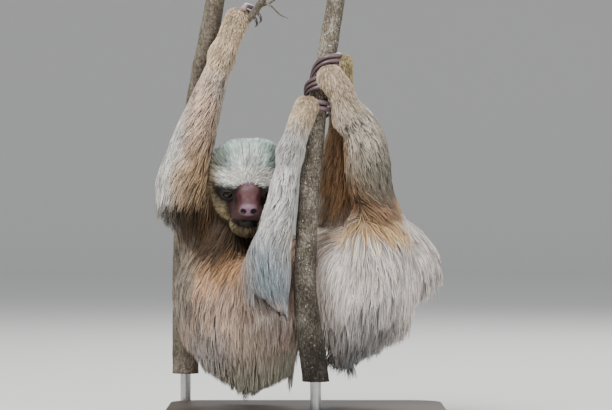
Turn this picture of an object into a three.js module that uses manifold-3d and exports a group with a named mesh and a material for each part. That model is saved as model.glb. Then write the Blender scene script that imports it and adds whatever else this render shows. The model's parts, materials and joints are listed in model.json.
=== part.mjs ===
// A two-toed sloth as a life-size display model. It hangs belly up in a fork of two slender stems, its back
// down, its head raised between its arms. Both hind feet and the right hand hold the front stem, and the left
// hand hooks a twig of the rear stem. Millimetres, +Z up. The sloth is seen from its right side along +Y.
// Body solids reach to the tips of the coat. The origin is the centre of the underside of the stand's base.
import * as THREE from "three";
import { mergeVertices } from "three/addons/utils/BufferGeometryUtils.js";
import Module from "manifold-3d";

const wasm = await Module();
wasm.setup();

// ---- Driving dimensions -------------------------------------------------------------------------------------
const BASE_WIDTH = 410;
const BASE_DEPTH = 280;
const BASE_THICKNESS = 20;
const BASE_CORNER = 45;
const BASE_BEVEL = 2;
const ROD_RADIUS = 8;
const FRONT_STEM_Y = -75; // the front stem stands this far in front of the base's centre
const STEM_FOOT_Z = 62; // both stems are sawn off here, on top of their rods
const STEM_TOP_Z = 655; // and sawn off again here
const EYE_RADIUS = 8.5;
const CLAW_RADIUS = 3.6; // half a claw's width at its root
const CLAW_HEIGHT = 1.3; // a claw is this much taller than it is wide
const CLAW_GAP = 0.7; // between a claw and the stem it holds
const CLAW_PITCH = 7.6; // from one toe's claw to the next
const JOINT_GAP = 0.35; // between neighbouring solids
const LOBE_BLEND = 7; // higher is a crisper meeting of a form's lobes

const SIDES = { torso: 14, head: 14, limb: 10, hand: 9, claw: 6, stem: 10, twig: 6, neck: 8 };

// A place: x to the viewer's right, y behind the front stem, z above the floor.
const at = (x, y, z) => new THREE.Vector3(x, y + FRONT_STEM_Y, z);

// ---- Solids -------------------------------------------------------------------------------------------------

// A closed geometry as a manifold solid, with its vertices merged and its collapsed triangles dropped.
function solidOf(geometry) {
  const bare = geometry.clone();
  bare.deleteAttribute("normal");
  bare.deleteAttribute("uv");
  const merged = mergeVertices(bare, 1e-3);
  const corners = merged.index.array;
  const kept = [];
  for (let i = 0; i < corners.length; i += 3) {
    const [a, b, c] = corners.slice(i, i + 3);
    if (a !== b && b !== c && c !== a) kept.push(a, b, c);
  }
  return new wasm.Manifold(
    new wasm.Mesh({
      numProp: 3,
      vertProperties: merged.attributes.position.array,
      triVerts: new Uint32Array(kept),
    }),
  );
}

// A manifold solid as a geometry.
function geometryOf(solid) {
  const mesh = solid.getMesh();
  return new THREE.BufferGeometry()
    .setAttribute("position", new THREE.BufferAttribute(mesh.vertProperties, 3))
    .setIndex(new THREE.BufferAttribute(mesh.triVerts, 1));
}

// The biggest of a solid's separate bodies.
function biggest(solid) {
  return solid.decompose().reduce((best, body) => (body.volume() > best.volume() ? body : best));
}

// A closed tube with round ends along a smooth path. Each station is [place, half width, half depth, hang]:
// the width lies across the path and square to `square`, the depth along `square`, and hang is how far the
// coat drops below the tube's lower side. A unit sphere's rings are carried along the path, its two polar
// caps making the round ends, and `grow` swells the whole tube.
function tube(stations, { sides = SIDES.limb, steps = 8, square = [0, 1, 0], blunt = 0.8, grow = 0 } = {}) {
  const path = new THREE.CatmullRomCurve3(stations.map((s) => s[0]), false, "catmullrom", 0.5);
  const sizes = new THREE.CatmullRomCurve3(
    stations.map((s) => new THREE.Vector3(s[1], s[2] ?? s[1], s[3] ?? 0)),
    false,
    "catmullrom",
    0.5,
  );
  const capSteps = 2;
  const reference = new THREE.Vector3(...square);
  const geometry = new THREE.SphereGeometry(1, sides, steps + 2 * capSteps);
  const position = geometry.attributes.position;
  const unit = new THREE.Vector3();
  for (let i = 0; i < position.count; i++) {
    unit.fromBufferAttribute(position, i);
    const ring = (Math.acos(THREE.MathUtils.clamp(unit.y, -1, 1)) / Math.PI) * (steps + 2 * capSteps);
    const along = THREE.MathUtils.clamp((ring - capSteps) / steps, 0, 1);
    const beyond = ring < capSteps ? ring - capSteps : Math.max(0, ring - capSteps - steps);
    const turn = (Math.abs(beyond) / capSteps) * (Math.PI / 2);
    const tangent = path.getTangent(along);
    const across = new THREE.Vector3().crossVectors(tangent, reference).normalize();
    const deep = new THREE.Vector3().crossVectors(tangent, across).normalize();
    const size = sizes.getPoint(along);
    const around = Math.atan2(unit.z, unit.x);
    const shrink = Math.cos(turn);
    const radial = across.multiplyScalar((size.x + grow) * Math.cos(around) * shrink);
    radial.addScaledVector(deep, (size.y + grow) * Math.sin(around) * shrink);
    const drop = size.z * Math.max(0, -radial.z / Math.max(size.x, size.y)) ** 1.5;
    const point = path.getPoint(along).add(radial);
    point.addScaledVector(tangent, Math.sign(beyond) * Math.sin(turn) * (blunt * size.x + grow));
    point.z -= drop;
    position.setXYZ(i, point.x, point.y, point.z);
  }
  return upright(geometry);
}

// A solid from a closed geometry, with its faces turned outward whichever way they were wound.
function upright(geometry) {
  const solid = solidOf(geometry);
  if (solid.volume() > 0) return solid;
  geometry.scale(-1, 1, 1);
  return solidOf(geometry).mirror([1, 0, 0]);
}

// A closed rounded form: from one centre, each direction reaches out to a soft union of ellipsoids that all hold
// that centre. `frame` turns local [side, up, front] numbers into places.
function lobed(frame, centre, lobes, { sides = SIDES.head, rows = 10, grow = 0 } = {}) {
  const geometry = new THREE.SphereGeometry(1, sides, rows);
  const position = geometry.attributes.position;
  const direction = new THREE.Vector3();
  for (let i = 0; i < position.count; i++) {
    direction.fromBufferAttribute(position, i).normalize();
    let sum = 0;
    for (const [middle, size] of lobes) {
      const start = centre.map((value, k) => (value - middle[k]) / size[k]);
      const ray = [direction.x / size[0], direction.y / size[1], direction.z / size[2]];
      const a = ray[0] ** 2 + ray[1] ** 2 + ray[2] ** 2;
      const b = start[0] * ray[0] + start[1] * ray[1] + start[2] * ray[2];
      const c = start[0] ** 2 + start[1] ** 2 + start[2] ** 2 - 1;
      const exit = (-b + Math.sqrt(Math.max(0, b * b - a * c))) / a;
      sum += Math.max(exit, 0) ** LOBE_BLEND;
    }
    const reach = sum ** (1 / LOBE_BLEND) + grow;
    const place = frame(...centre.map((value, k) => value + reach * direction.getComponent(k)));
    position.setXYZ(i, place.x, place.y, place.z);
  }
  return upright(geometry);
}

// ---- Stems and twig that the sloth holds --------------------------------------------------------------------
const frontStem = [
  [at(14, 0, STEM_FOOT_Z), 20],
  [at(8.5, 0, 110), 19.5],
  [at(1, 0, 163), 17.5],
  [at(-1, 0, 228), 16],
  [at(2.5, 0, 305), 15.5],
  [at(8, 0, 370), 15],
  [at(17, 0, 462), 14.4],
  [at(28, 0, 522), 14],
  [at(38, 0, 580), 13.8],
  [at(49, 0, 655), 13.5],
];
const rearStem = [
  [at(-183, 196, STEM_FOOT_Z), 20.5],
  [at(-183, 194, 140), 20],
  [at(-183, 188, 240), 19],
  [at(-179, 168, 330), 17.5],
  [at(-171, 138, 426), 16],
  [at(-157, 106, 510), 15.5],
  [at(-143, 84, 570), 15],
  [at(-128, 66, 648), 14.5],
];
const twig = [
  [at(-146, 92, 546), 7.5],
  [at(-112, 58, 566), 6.6],
  [at(-81, 33, 593), 5.8],
  [at(-63, 12, 616), 5.2],
  [at(-51, -8, 640), 4.6],
];

// The front stem's centre and radius at a height.
const frontAxis = new THREE.CatmullRomCurve3(frontStem.map((s) => s[0]), false, "catmullrom", 0.5);
function frontStemAt(z) {
  let low = 0;
  let high = 1;
  for (let i = 0; i < 30; i++) {
    const middle = (low + high) / 2;
    if (frontAxis.getPoint(middle).z < z) low = middle;
    else high = middle;
  }
  const place = low * (frontStem.length - 1);
  const k = Math.min(Math.floor(place), frontStem.length - 2);
  const radius = THREE.MathUtils.lerp(frontStem[k][1], frontStem[k + 1][1], place - k);
  return { centre: frontAxis.getPoint(low), radius };
}

// ---- Skeleton: the joints that pose the body ----------------------------------------------------------------
const joint = {
  shoulderLeft: at(-140, 122, 238),
  elbowLeft: at(-181, 70, 371),
  wristLeft: at(-122, 45, 540),
  knucklesLeft: at(-101, 38, 594),
  shoulderRight: at(-96, 78, 182),
  elbowRight: at(-52, -14, 236),
  wristRight: at(-22, -22, 395),
  knucklesRight: at(-1, -26, 458),
  hipLeft: at(92, 138, 226),
  kneeLeft: at(50, 96, 328),
  ankleLeft: at(57, 42, 452),
  toesLeft: at(58, 4, 527),
  hipRight: at(102, 66, 218),
  kneeRight: at(104, 10, 322),
  ankleRight: at(60, -14, 444),
  toesRight: at(40, -27, 502),
  eyes: at(-83, 22, 334),
};

const between = (a, b, share) => new THREE.Vector3().lerpVectors(a, b, share);
const moved = (a, x, y, z) => a.clone().add(new THREE.Vector3(x, y, z));

// ---- Head frame: ahead along the muzzle, up over the crown, aside to the viewer's right ---------------------
const HEAD_PITCH = THREE.MathUtils.degToRad(16); // the face looks down this much
const ahead = new THREE.Vector3(0, -Math.cos(HEAD_PITCH), -Math.sin(HEAD_PITCH));
const upward = new THREE.Vector3(0, -Math.sin(HEAD_PITCH), Math.cos(HEAD_PITCH));
const inHead = (side, up, front) =>
  joint.eyes.clone().addScaledVector(ahead, front).addScaledVector(upward, up).add(new THREE.Vector3(side, 0, 0));
const headward = upward.toArray();

// ---- Body solids, each a function of how much it is swollen -------------------------------------------------
const shapes = {};

// A stem, sawn off level at its foot and at its top.
const sawnStem = (stations, steps) => (grow) =>
  tube(stations, { sides: SIDES.stem, steps, blunt: 0.4, grow })
    .trimByPlane([0, 0, 1], STEM_FOOT_Z - grow)
    .trimByPlane([0, 0, -1], -STEM_TOP_Z - grow);
shapes.perch_front_stem = sawnStem(frontStem, 12);
shapes.perch_rear_stem = sawnStem(rearStem, 9);
shapes.perch_twig = (grow) => tube(twig, { sides: SIDES.twig, steps: 7, blunt: 0.5, grow });

// A claw wound round the front stem: it starts on the side `from` (degrees, 0 to the viewer's right and -90 in
// front) and winds by `sweep` degrees, fast at first, while it sinks, slowly at first, the more so the higher
// `late` is. It lies `lift` further out than one that touches the bark, and tapers to its point.
function stemClaw({ height, from, sweep, sink, late = 1.8, lift = 2 }) {
  const stations = [];
  const count = 7;
  for (let i = 0; i <= count; i++) {
    const share = i / count;
    const angle = THREE.MathUtils.degToRad(from + sweep * (1 - (1 - share) ** 1.8));
    const stem = frontStemAt(height - sink * share ** late);
    const radius = clawRadius(share);
    const reach = stem.radius + radius * CLAW_HEIGHT + CLAW_GAP + lift * Math.min(1, 2 * share);
    const place = moved(stem.centre, reach * Math.cos(angle), reach * Math.sin(angle), 0);
    stations.push([place, radius * CLAW_HEIGHT, radius]);
  }
  return stations;
}

// A claw hooked over the twig, side by side along it.
function twigClaw(offset) {
  const axis = new THREE.Vector3(0.63, -0.52, 0.575).normalize();
  const start = new THREE.Vector3(-0.5, 0.1, 0.85);
  start.addScaledVector(axis, -start.dot(axis)).normalize();
  const over = new THREE.Vector3().crossVectors(start, axis).normalize();
  const centre = twig[2][0].clone().addScaledVector(axis, offset);
  const stations = [];
  const count = 7;
  for (let i = 0; i <= count; i++) {
    const share = i / count;
    const angle = THREE.MathUtils.degToRad(-40 + 215 * share);
    const reach = 17 - 1.5 * share;
    const radius = clawRadius(share);
    const place = centre
      .clone()
      .addScaledVector(start, reach * Math.cos(angle))
      .addScaledVector(over, reach * Math.sin(angle));
    stations.push([place, radius * CLAW_HEIGHT, radius]);
  }
  return stations;
}

// A claw is thick at its root and tapers steadily to a blunt point.
function clawRadius(share) {
  return CLAW_RADIUS * (1 - 0.78 * share ** 1.4);
}

const claw = (stations, square) => (grow) =>
  tube(stations, { sides: SIDES.claw, steps: 6, square, blunt: 0.9, grow });

for (let i = 0; i < 3; i++) {
  const drop = CLAW_PITCH * i;
  const rear = { height: 535 - drop, from: 10, sweep: -196 + 12 * i, sink: 66 - 4 * i, late: 2.6, lift: 0 };
  const near = { height: 506 - drop, from: -40, sweep: -142 + 14 * i, sink: 32 - 6 * i, late: 1.7, lift: 5 };
  shapes[`claw_foot_left_${i + 1}`] = claw(stemClaw(rear), [0, 0, 1]);
  shapes[`claw_foot_right_${i + 1}`] = claw(stemClaw(near), [0, 0, 1]);
}
for (let i = 0; i < 2; i++) {
  const grip = { height: 467 - 8.6 * i, from: -140, sweep: 205, sink: 22 };
  shapes[`claw_hand_right_${i + 1}`] = claw(stemClaw(grip), [0, 0, 1]);
  shapes[`claw_hand_left_${i + 1}`] = claw(twigClaw(9.4 * i - 4.7), [0.63, -0.52, 0.575]);
}

// A ball in the head's frame.
function ball(side, up, front, radius, sides = 10) {
  const centre = inHead(side, up, front);
  const geometry = new THREE.SphereGeometry(radius, sides, Math.round(sides * 0.7));
  return solidOf(geometry.translate(centre.x, centre.y, centre.z));
}

const EYE_SIDE = 30.5; // from the middle of the face to the middle of an eye
shapes.eye_left = (grow) => ball(EYE_SIDE, 0, 0, EYE_RADIUS + grow);
shapes.eye_right = (grow) => ball(-EYE_SIDE, 0, 0, EYE_RADIUS + grow);

shapes.nose = (grow) =>
  tube(
    [
      [inHead(0, -12.5, 34), 12.5, 9.5],
      [inHead(0, -13, 43), 11.5, 8.5],
    ],
    { sides: SIDES.hand, steps: 3, square: headward, blunt: 0.45, grow },
  );

const ear = (side) => (grow) =>
  tube(
    [
      [inHead(side * 50, 4, -60), 6, 9],
      [inHead(side * 59, 6, -66), 4.5, 8],
    ],
    { sides: SIDES.claw, steps: 3, square: headward, blunt: 0.5, grow },
  );
shapes.ear_left = ear(1);
shapes.ear_right = ear(-1);

// Hands and feet: wrist or ankle, the middle, and the bases of the claws.
shapes.hand_left = (grow) =>
  tube(
    [
      [moved(joint.wristLeft, 4, -2, 8), 17, 16],
      [at(-111, 41, 572), 19, 17],
      [at(-101, 38, 591), 17, 17],
    ],
    { sides: SIDES.hand, steps: 3, grow },
  );
shapes.hand_right = (grow) =>
  tube(
    [
      [moved(joint.wristRight, 3, -1, 10), 16, 17],
      [at(-9, -27, 434), 19, 19],
      [at(1, -27, 459), 18, 17],
    ],
    { sides: SIDES.hand, steps: 3, grow },
  );
shapes.foot_right = (grow) =>
  tube(
    [
      [moved(joint.ankleRight, -3, -2, 8), 20, 19],
      [at(47, -27, 478), 20, 19],
      [at(35, -32, 501), 19.5, 18],
    ],
    { sides: SIDES.hand, steps: 3, grow },
  );
shapes.foot_left = (grow) =>
  tube(
    [
      [moved(joint.ankleLeft, 0, -6, 10), 19, 19],
      [at(57, 14, 494), 18, 18],
      [at(57, 3, 524), 17, 17],
    ],
    { sides: SIDES.hand, steps: 3, grow },
  );

// Forearms and shins: from the wrist or ankle down to the elbow or knee, where the hair falls past the joint.
shapes.forearm_left = (grow) =>
  tube(
    [
      [joint.wristLeft, 16, 16],
      [between(joint.wristLeft, joint.elbowLeft, 0.3), 23, 22],
      [between(joint.wristLeft, joint.elbowLeft, 0.62), 33, 32],
      [joint.elbowLeft, 38, 38],
      [moved(joint.elbowLeft, -19, 6, -40), 29, 28],
      [moved(joint.elbowLeft, -26, 10, -68), 16, 16],
    ],
    { steps: 7, grow },
  );
shapes.forearm_right = (grow) =>
  tube(
    [
      [joint.wristRight, 16, 17],
      [between(joint.wristRight, joint.elbowRight, 0.3), 20, 21],
      [between(joint.wristRight, joint.elbowRight, 0.65), 26, 26],
      [moved(joint.elbowRight, -2, 0, 6), 35, 32],
      [moved(joint.elbowRight, 6, -2, -38), 30, 24],
      [moved(joint.elbowRight, 20, 0, -78), 12, 10],
    ],
    { steps: 7, grow },
  );
shapes.shin_right = (grow) =>
  tube(
    [
      [joint.ankleRight, 20, 20],
      [at(76, -9, 432), 29, 27],
      [at(86, -4, 402), 36, 33],
      [at(90, 0, 364), 37, 36],
      [moved(joint.kneeRight, -3, -1, 8), 34, 36],
    ],
    { steps: 6, grow },
  );
shapes.shin_left = (grow) =>
  tube(
    [
      [joint.ankleLeft, 19, 19],
      [between(joint.ankleLeft, joint.kneeLeft, 0.35), 28, 28],
      [between(joint.ankleLeft, joint.kneeLeft, 0.7), 34, 36],
      [joint.kneeLeft, 36, 40],
    ],
    { steps: 6, grow },
  );

shapes.muzzle = (grow) =>
  tube(
    [
      [inHead(0, -7, -12), 22, 23],
      [inHead(0, -13, 12), 22, 21],
      [inHead(0, -19, 29), 23, 17.5],
      [inHead(0, -20, 34), 22, 16],
    ],
    { steps: 4, square: headward, blunt: 0.5, grow },
  );
// Crown, cheeks, brow and chin in one form, with a hollow in front of each eye.
const HEAD_LOBES = [
  [[-14, 12, -50], [46, 54, 54]],
  [[14, 12, -50], [46, 54, 54]],
  [[0, -20, -30], [56, 40, 44]],
  [[0, 12, -26], [48, 41, 36]],
  [[0, -38, -12], [30, 31, 40]],
];
shapes.head = (grow) =>
  lobed(inHead, [0, -6, -40], HEAD_LOBES, { grow })
    .subtract(ball(EYE_SIDE + 1, -1, 9, EYE_RADIUS + 3 - grow, 7))
    .subtract(ball(-EYE_SIDE - 1, -1, 9, EYE_RADIUS + 3 - grow, 7));

// Upper arms and thighs, from the elbow or knee into the trunk of the body.
shapes.upper_arm_left = (grow) =>
  tube(
    [
      [moved(joint.elbowLeft, 4, 4, -10), 37, 38],
      [between(joint.elbowLeft, joint.shoulderLeft, 0.5), 42, 42],
      [joint.shoulderLeft, 46, 48],
    ],
    { steps: 5, grow },
  );
shapes.upper_arm_right = (grow) =>
  tube(
    [
      [moved(joint.elbowRight, -4, 8, -8), 36, 34, 8],
      [between(joint.elbowRight, joint.shoulderRight, 0.5), 40, 42, 10],
      [joint.shoulderRight, 44, 44, 8],
    ],
    { steps: 5, square: [1, 0, 0], grow },
  );
shapes.thigh_right = (grow) =>
  tube(
    [
      [moved(joint.kneeRight, 2, 10, -8), 36, 40, 4],
      [between(joint.kneeRight, joint.hipRight, 0.5), 54, 52, 10],
      [joint.hipRight, 56, 58, 14],
    ],
    { steps: 5, grow },
  );
shapes.thigh_left = (grow) =>
  tube(
    [
      [moved(joint.kneeLeft, 4, 8, -12), 38, 42],
      [between(joint.kneeLeft, joint.hipLeft, 0.5), 50, 50],
      [joint.hipLeft, 58, 54],
    ],
    { steps: 5, grow },
  );

shapes.neck = (grow) =>
  tube(
    [
      [at(-86, 92, 340), 46, 46],
      [at(-100, 100, 290), 52, 52],
      [at(-112, 98, 236), 62, 62],
    ],
    { sides: SIDES.neck, steps: 4, grow },
  );

// The trunk of the body: chest on the viewer's left, rump on the right, and the belly between them.
shapes.torso_chest = (grow) =>
  lobed(
    at,
    [-90, 96, 165],
    [
      [[-102, 96, 180], [88, 84, 116]],
      [[-132, 96, 190], [60, 60, 64]],
      [[-76, 97, 124], [78, 64, 94]],
    ],
    { grow },
  );
shapes.torso_rump = (grow) =>
  lobed(
    at,
    [95, 108, 215],
    [
      [[90, 108, 207], [84, 80, 92]],
      [[130, 110, 240], [70, 60, 42]],
      [[118, 108, 250], [60, 58, 54]],
      [[66, 106, 186], [62, 66, 92]],
    ],
    { grow },
  );
shapes.torso_belly = (grow) =>
  lobed(
    at,
    [0, 106, 200],
    [
      [[0, 106, 205], [88, 80, 94]],
      [[8, 112, 197], [160, 74, 86]],
    ],
    { rows: 8, grow },
  );

// ---- Materials ----------------------------------------------------------------------------------------------
const finish = {
  coat: { color: 0xb39c82, roughness: 0.85 },
  muzzle: { color: 0x7a4a48, roughness: 0.5 },
  nose: { color: 0x5d3840, roughness: 0.3 },
  eye: { color: 0x1c120d, roughness: 0.08 },
  ear: { color: 0x8a6a58, roughness: 0.6 },
  claw: { color: 0x4a3d3c, roughness: 0.35 },
  bark: { color: 0x7d7462, roughness: 0.9 },
  stand: { color: 0x3b3a38, roughness: 0.5 },
  rod: { color: 0x8c8d8f, roughness: 0.35, metalness: 0.9 },
};
const finishOf = (name) => {
  const words = name.split("_");
  if (words[0] === "claw" || words[0] === "eye" || words[0] === "ear") return words[0];
  if (name === "muzzle" || name === "nose") return name;
  if (words[0] === "perch") return "bark";
  if (words[0] === "stand") return words[1] === "rod" ? "rod" : "stand";
  return "coat";
};

// ---- Assembly -----------------------------------------------------------------------------------------------
const sloth = new THREE.Group();

function add(name, geometry) {
  const mesh = new THREE.Mesh(geometry, new THREE.MeshStandardMaterial(finish[finishOf(name)]));
  mesh.name = name;
  sloth.add(mesh);
}

// The stand: a flat base with rounded corners, and a short rod under each stem.
function baseGeometry() {
  const outline = new THREE.Shape();
  const halfWidth = BASE_WIDTH / 2 - BASE_BEVEL;
  const halfDepth = BASE_DEPTH / 2 - BASE_BEVEL;
  const corners = [
    [1, -1, -Math.PI / 2],
    [1, 1, 0],
    [-1, 1, Math.PI / 2],
    [-1, -1, Math.PI],
  ];
  for (const [sx, sy, start] of corners) {
    const x = sx * (halfWidth - BASE_CORNER);
    const y = sy * (halfDepth - BASE_CORNER);
    outline.absarc(x, y, BASE_CORNER, start, start + Math.PI / 2, false);
  }
  const geometry = new THREE.ExtrudeGeometry(outline, {
    depth: BASE_THICKNESS - 2 * BASE_BEVEL,
    bevelThickness: BASE_BEVEL,
    bevelSize: BASE_BEVEL,
    bevelSegments: 1,
    curveSegments: 4,
  });
  return geometryOf(solidOf(geometry.translate(0, 0, BASE_BEVEL)));
}

function rodGeometry(stem) {
  const foot = stem[0][0];
  const length = STEM_FOOT_Z - BASE_THICKNESS - 2 * JOINT_GAP;
  const rod = new THREE.CylinderGeometry(ROD_RADIUS, ROD_RADIUS, length, 12);
  rod.rotateX(Math.PI / 2);
  return rod.translate(foot.x, foot.y, BASE_THICKNESS + JOINT_GAP + length / 2);
}

add("stand_base", baseGeometry());
add("stand_rod_front", rodGeometry(frontStem));
add("stand_rod_rear", rodGeometry(rearStem));

// Each solid yields to those before it, with a thin gap between them.
const firm = [];
function addYielding(name, solid, swollen) {
  let body = solid;
  const box = body.boundingBox();
  for (const other of firm) {
    const apart = [0, 1, 2].some((k) => other.box.min[k] > box.max[k] || other.box.max[k] < box.min[k]);
    if (!apart) body = body.subtract(other.solid);
  }
  firm.push({ solid: swollen, box: swollen.boundingBox() });
  add(name, geometryOf(biggest(body)));
}

for (const [name, shape] of Object.entries(shapes)) addYielding(name, shape(0), shape(JOINT_GAP));

export default sloth;
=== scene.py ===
"""A two-toed sloth on its perch, as a life-size display model.

The body is one skin, the zero surface of a smooth union of rounded forms hung on the model's
joints. The coat is thousands of closed, tapering locks that grow from that skin, follow the lie of
the hair and fall with their own weight. Shapes are worked out in millimetres in the model's own
frame and written to Blender in metres.
"""

import json
import logging
import math
from collections.abc import Callable
from dataclasses import dataclass, field
from enum import Enum

import bmesh
import bpy
import numpy as np
from bpy.types import Material, Node, NodeTree, Object
from bpy.types import NodeSocket as Socket
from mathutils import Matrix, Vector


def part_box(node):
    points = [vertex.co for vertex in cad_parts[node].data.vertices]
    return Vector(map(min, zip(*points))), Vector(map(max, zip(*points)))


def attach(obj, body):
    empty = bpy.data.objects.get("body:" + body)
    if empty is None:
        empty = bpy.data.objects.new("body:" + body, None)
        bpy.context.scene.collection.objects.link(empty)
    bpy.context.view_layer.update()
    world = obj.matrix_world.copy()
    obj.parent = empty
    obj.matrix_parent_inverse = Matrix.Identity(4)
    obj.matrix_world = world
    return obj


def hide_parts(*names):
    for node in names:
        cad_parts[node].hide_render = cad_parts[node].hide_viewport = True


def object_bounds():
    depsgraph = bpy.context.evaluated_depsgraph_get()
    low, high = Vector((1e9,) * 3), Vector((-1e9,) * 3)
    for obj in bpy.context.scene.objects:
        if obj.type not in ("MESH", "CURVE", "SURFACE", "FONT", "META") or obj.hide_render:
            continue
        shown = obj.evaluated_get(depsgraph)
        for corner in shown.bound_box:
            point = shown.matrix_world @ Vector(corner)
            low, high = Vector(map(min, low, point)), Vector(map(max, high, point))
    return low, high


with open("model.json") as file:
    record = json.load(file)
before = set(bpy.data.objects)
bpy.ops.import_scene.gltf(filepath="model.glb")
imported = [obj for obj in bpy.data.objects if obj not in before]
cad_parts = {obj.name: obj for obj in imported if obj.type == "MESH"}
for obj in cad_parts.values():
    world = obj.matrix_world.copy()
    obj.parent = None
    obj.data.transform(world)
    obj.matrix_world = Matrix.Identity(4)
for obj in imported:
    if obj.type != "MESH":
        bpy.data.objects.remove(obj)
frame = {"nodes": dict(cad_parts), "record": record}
CAD_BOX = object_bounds()

log = logging.getLogger("sloth")
logging.basicConfig(level=logging.INFO, format="%(name)s: %(message)s")

MM = 0.001
FRONT_STEM_Y = -75.0  # the front stem stands this far in front of the base's centre
SEED = 11
CAP_RISE = 0.6  # how far a tube's rounded end stands out, as a share of its radius
HASH_PRIMES = (374761393, 668265263, 1440662683, 974634777, 1274126177)  # odd numbers to mix bits
Array = np.ndarray
Colour = tuple[float, float, float]
Value = Socket | float  # a socket to link from, or a constant


def at(x: float, y: float, z: float) -> Array:
    """A place in mm: x to the viewer's right, y behind the front stem, z above the floor."""
    return np.array([x, y + FRONT_STEM_Y, z], dtype=float)


def unit(v: Array) -> Array:
    """Vectors scaled to length one along their last axis."""
    return v / np.maximum(np.linalg.norm(v, axis=-1, keepdims=True), 1e-9)


def smooth(low: float, high: float, value: Array) -> Array:
    """The smooth step 3t^2 - 2t^3, where t runs from 0 at low to 1 at high."""
    t = np.clip((value - low) / (high - low), 0.0, 1.0)
    return t * t * (3.0 - 2.0 * t)


# ---- Skeleton ----
JOINT = {
    "shoulder_left": at(-140, 122, 238),
    "elbow_left": at(-181, 70, 371),
    "wrist_left": at(-122, 45, 540),
    "knuckles_left": at(-101, 38, 594),
    "shoulder_right": at(-96, 78, 182),
    "elbow_right": at(-52, -14, 236),
    "wrist_right": at(-22, -22, 395),
    "knuckles_right": at(-1, -26, 458),
    "hip_left": at(92, 138, 226),
    "knee_left": at(50, 96, 328),
    "ankle_left": at(57, 42, 452),
    "toes_left": at(58, 4, 527),
    "hip_right": at(102, 66, 218),
    "knee_right": at(104, 10, 322),
    "ankle_right": at(60, -14, 444),
    "toes_right": at(40, -27, 502),
    "eyes": at(-83, 22, 334),
}
HEAD_PITCH = math.radians(16)
HEAD_AXES = np.array(
    [
        [1.0, 0.0, 0.0],
        [0.0, -math.sin(HEAD_PITCH), math.cos(HEAD_PITCH)],
        [0.0, -math.cos(HEAD_PITCH), -math.sin(HEAD_PITCH)],
    ]
)
EYE_SIDE = 30.5
EYE_RADIUS = 8.5


def in_head(side: float, up: float, front: float) -> Array:
    """A place in the head's own frame: to the viewer's right, up and ahead along the muzzle."""
    return JOINT["eyes"] + np.array([side, up, front]) @ HEAD_AXES


def head_place(points: Array) -> Array:
    """Places as (side, up, front) in the head's frame, the inverse of in_head."""
    return (points - JOINT["eyes"]) @ HEAD_AXES.T


def joint(name: str, x: float = 0.0, y: float = 0.0, z: float = 0.0) -> Array:
    """A joint's place, moved a little."""
    return JOINT[name] + np.array([x, y, z])


def between(a: str, b: str, share: float = 0.5) -> Array:
    """The place that lies a share of the way from one joint to another."""
    return JOINT[a] * (1 - share) + JOINT[b] * share


FRONT_STEM = [
    (at(14, 0, 62), 20.0),
    (at(8.5, 0, 110), 19.5),
    (at(1, 0, 163), 17.5),
    (at(-1, 0, 228), 16.0),
    (at(2.5, 0, 305), 15.5),
    (at(8, 0, 370), 15.0),
    (at(17, 0, 462), 14.4),
    (at(28, 0, 522), 14.0),
    (at(38, 0, 580), 13.8),
    (at(49, 0, 655), 13.5),
]
REAR_STEM = [
    (at(-183, 196, 62), 20.5),
    (at(-183, 194, 140), 20.0),
    (at(-183, 188, 240), 19.0),
    (at(-179, 168, 330), 17.5),
    (at(-171, 138, 426), 16.0),
    (at(-157, 106, 510), 15.5),
    (at(-143, 84, 570), 15.0),
    (at(-128, 66, 655), 14.5),
]
TWIG = [
    (at(-146, 92, 546), 7.0),
    (at(-112, 58, 566), 6.2),
    (at(-81, 33, 593), 5.5),
    (at(-63, 12, 616), 4.9),
    (at(-51, -8, 640), 4.3),
]


# ---- Curves, noise and meshes ----
def catmull(points: Array, count: int) -> Array:
    """Places along a Catmull-Rom spline through the points, ends included.

    Each span is the cubic 0.5 (2b + (c - a)t + (2a - 5b + 4c - d)t^2 + (3b - a - 3c + d)t^3) of its
    four neighbouring points a, b, c, d.

    Args:
        points: (n, k) stations.
        count: how many places to return.

    Returns:
        (count, k) array.
    """
    p = np.vstack([2 * points[0] - points[1], points, 2 * points[-1] - points[-2]])
    place = np.linspace(0, len(points) - 1, count)
    i = np.minimum(place.astype(int), len(points) - 2)
    t = (place - i)[:, None]
    a, b, c, d = p[i], p[i + 1], p[i + 2], p[i + 3]
    square = 2 * a - 5 * b + 4 * c - d
    return 0.5 * (2 * b + (c - a) * t + square * t**2 + (3 * b - a - 3 * c + d) * t**3)


def lattice(cell: Array, seed: int) -> Array:
    """A repeatable random number from 0 to 1 for each whole-numbered cell (..., 3).

    Args:
        cell: the cells.
        seed: which numbers.

    Returns:
        (...) numbers.
    """
    c = cell.astype(np.int64)
    x, y, z, turn, stir = HASH_PRIMES
    h = (c[..., 0] * x + c[..., 1] * y + c[..., 2] * z + seed * turn) & 0xFFFFFFFF
    h = ((h ^ (h >> 13)) * stir) & 0xFFFFFFFF
    return ((h ^ (h >> 16)) & 0xFFFFF) / float(0xFFFFF)


def noise(points: Array, size: float, seed: int = 0) -> Array:
    """Smooth value noise from -1 to 1: random numbers at cells' corners, blended between them.

    Args:
        points: (..., 3) places.
        size: a cell's width.
        seed: which noise.

    Returns:
        (...) numbers.
    """
    q = points / size
    cell = np.floor(q)
    t = q - cell
    t = t * t * (3 - 2 * t)
    total = np.zeros(q.shape[:-1])
    for corner in np.ndindex(2, 2, 2):
        corner = np.array(corner)
        weight = np.prod(np.where(corner == 1, t, 1 - t), axis=-1)
        total += weight * lattice(cell + corner, seed)
    return 2 * total - 1


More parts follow.
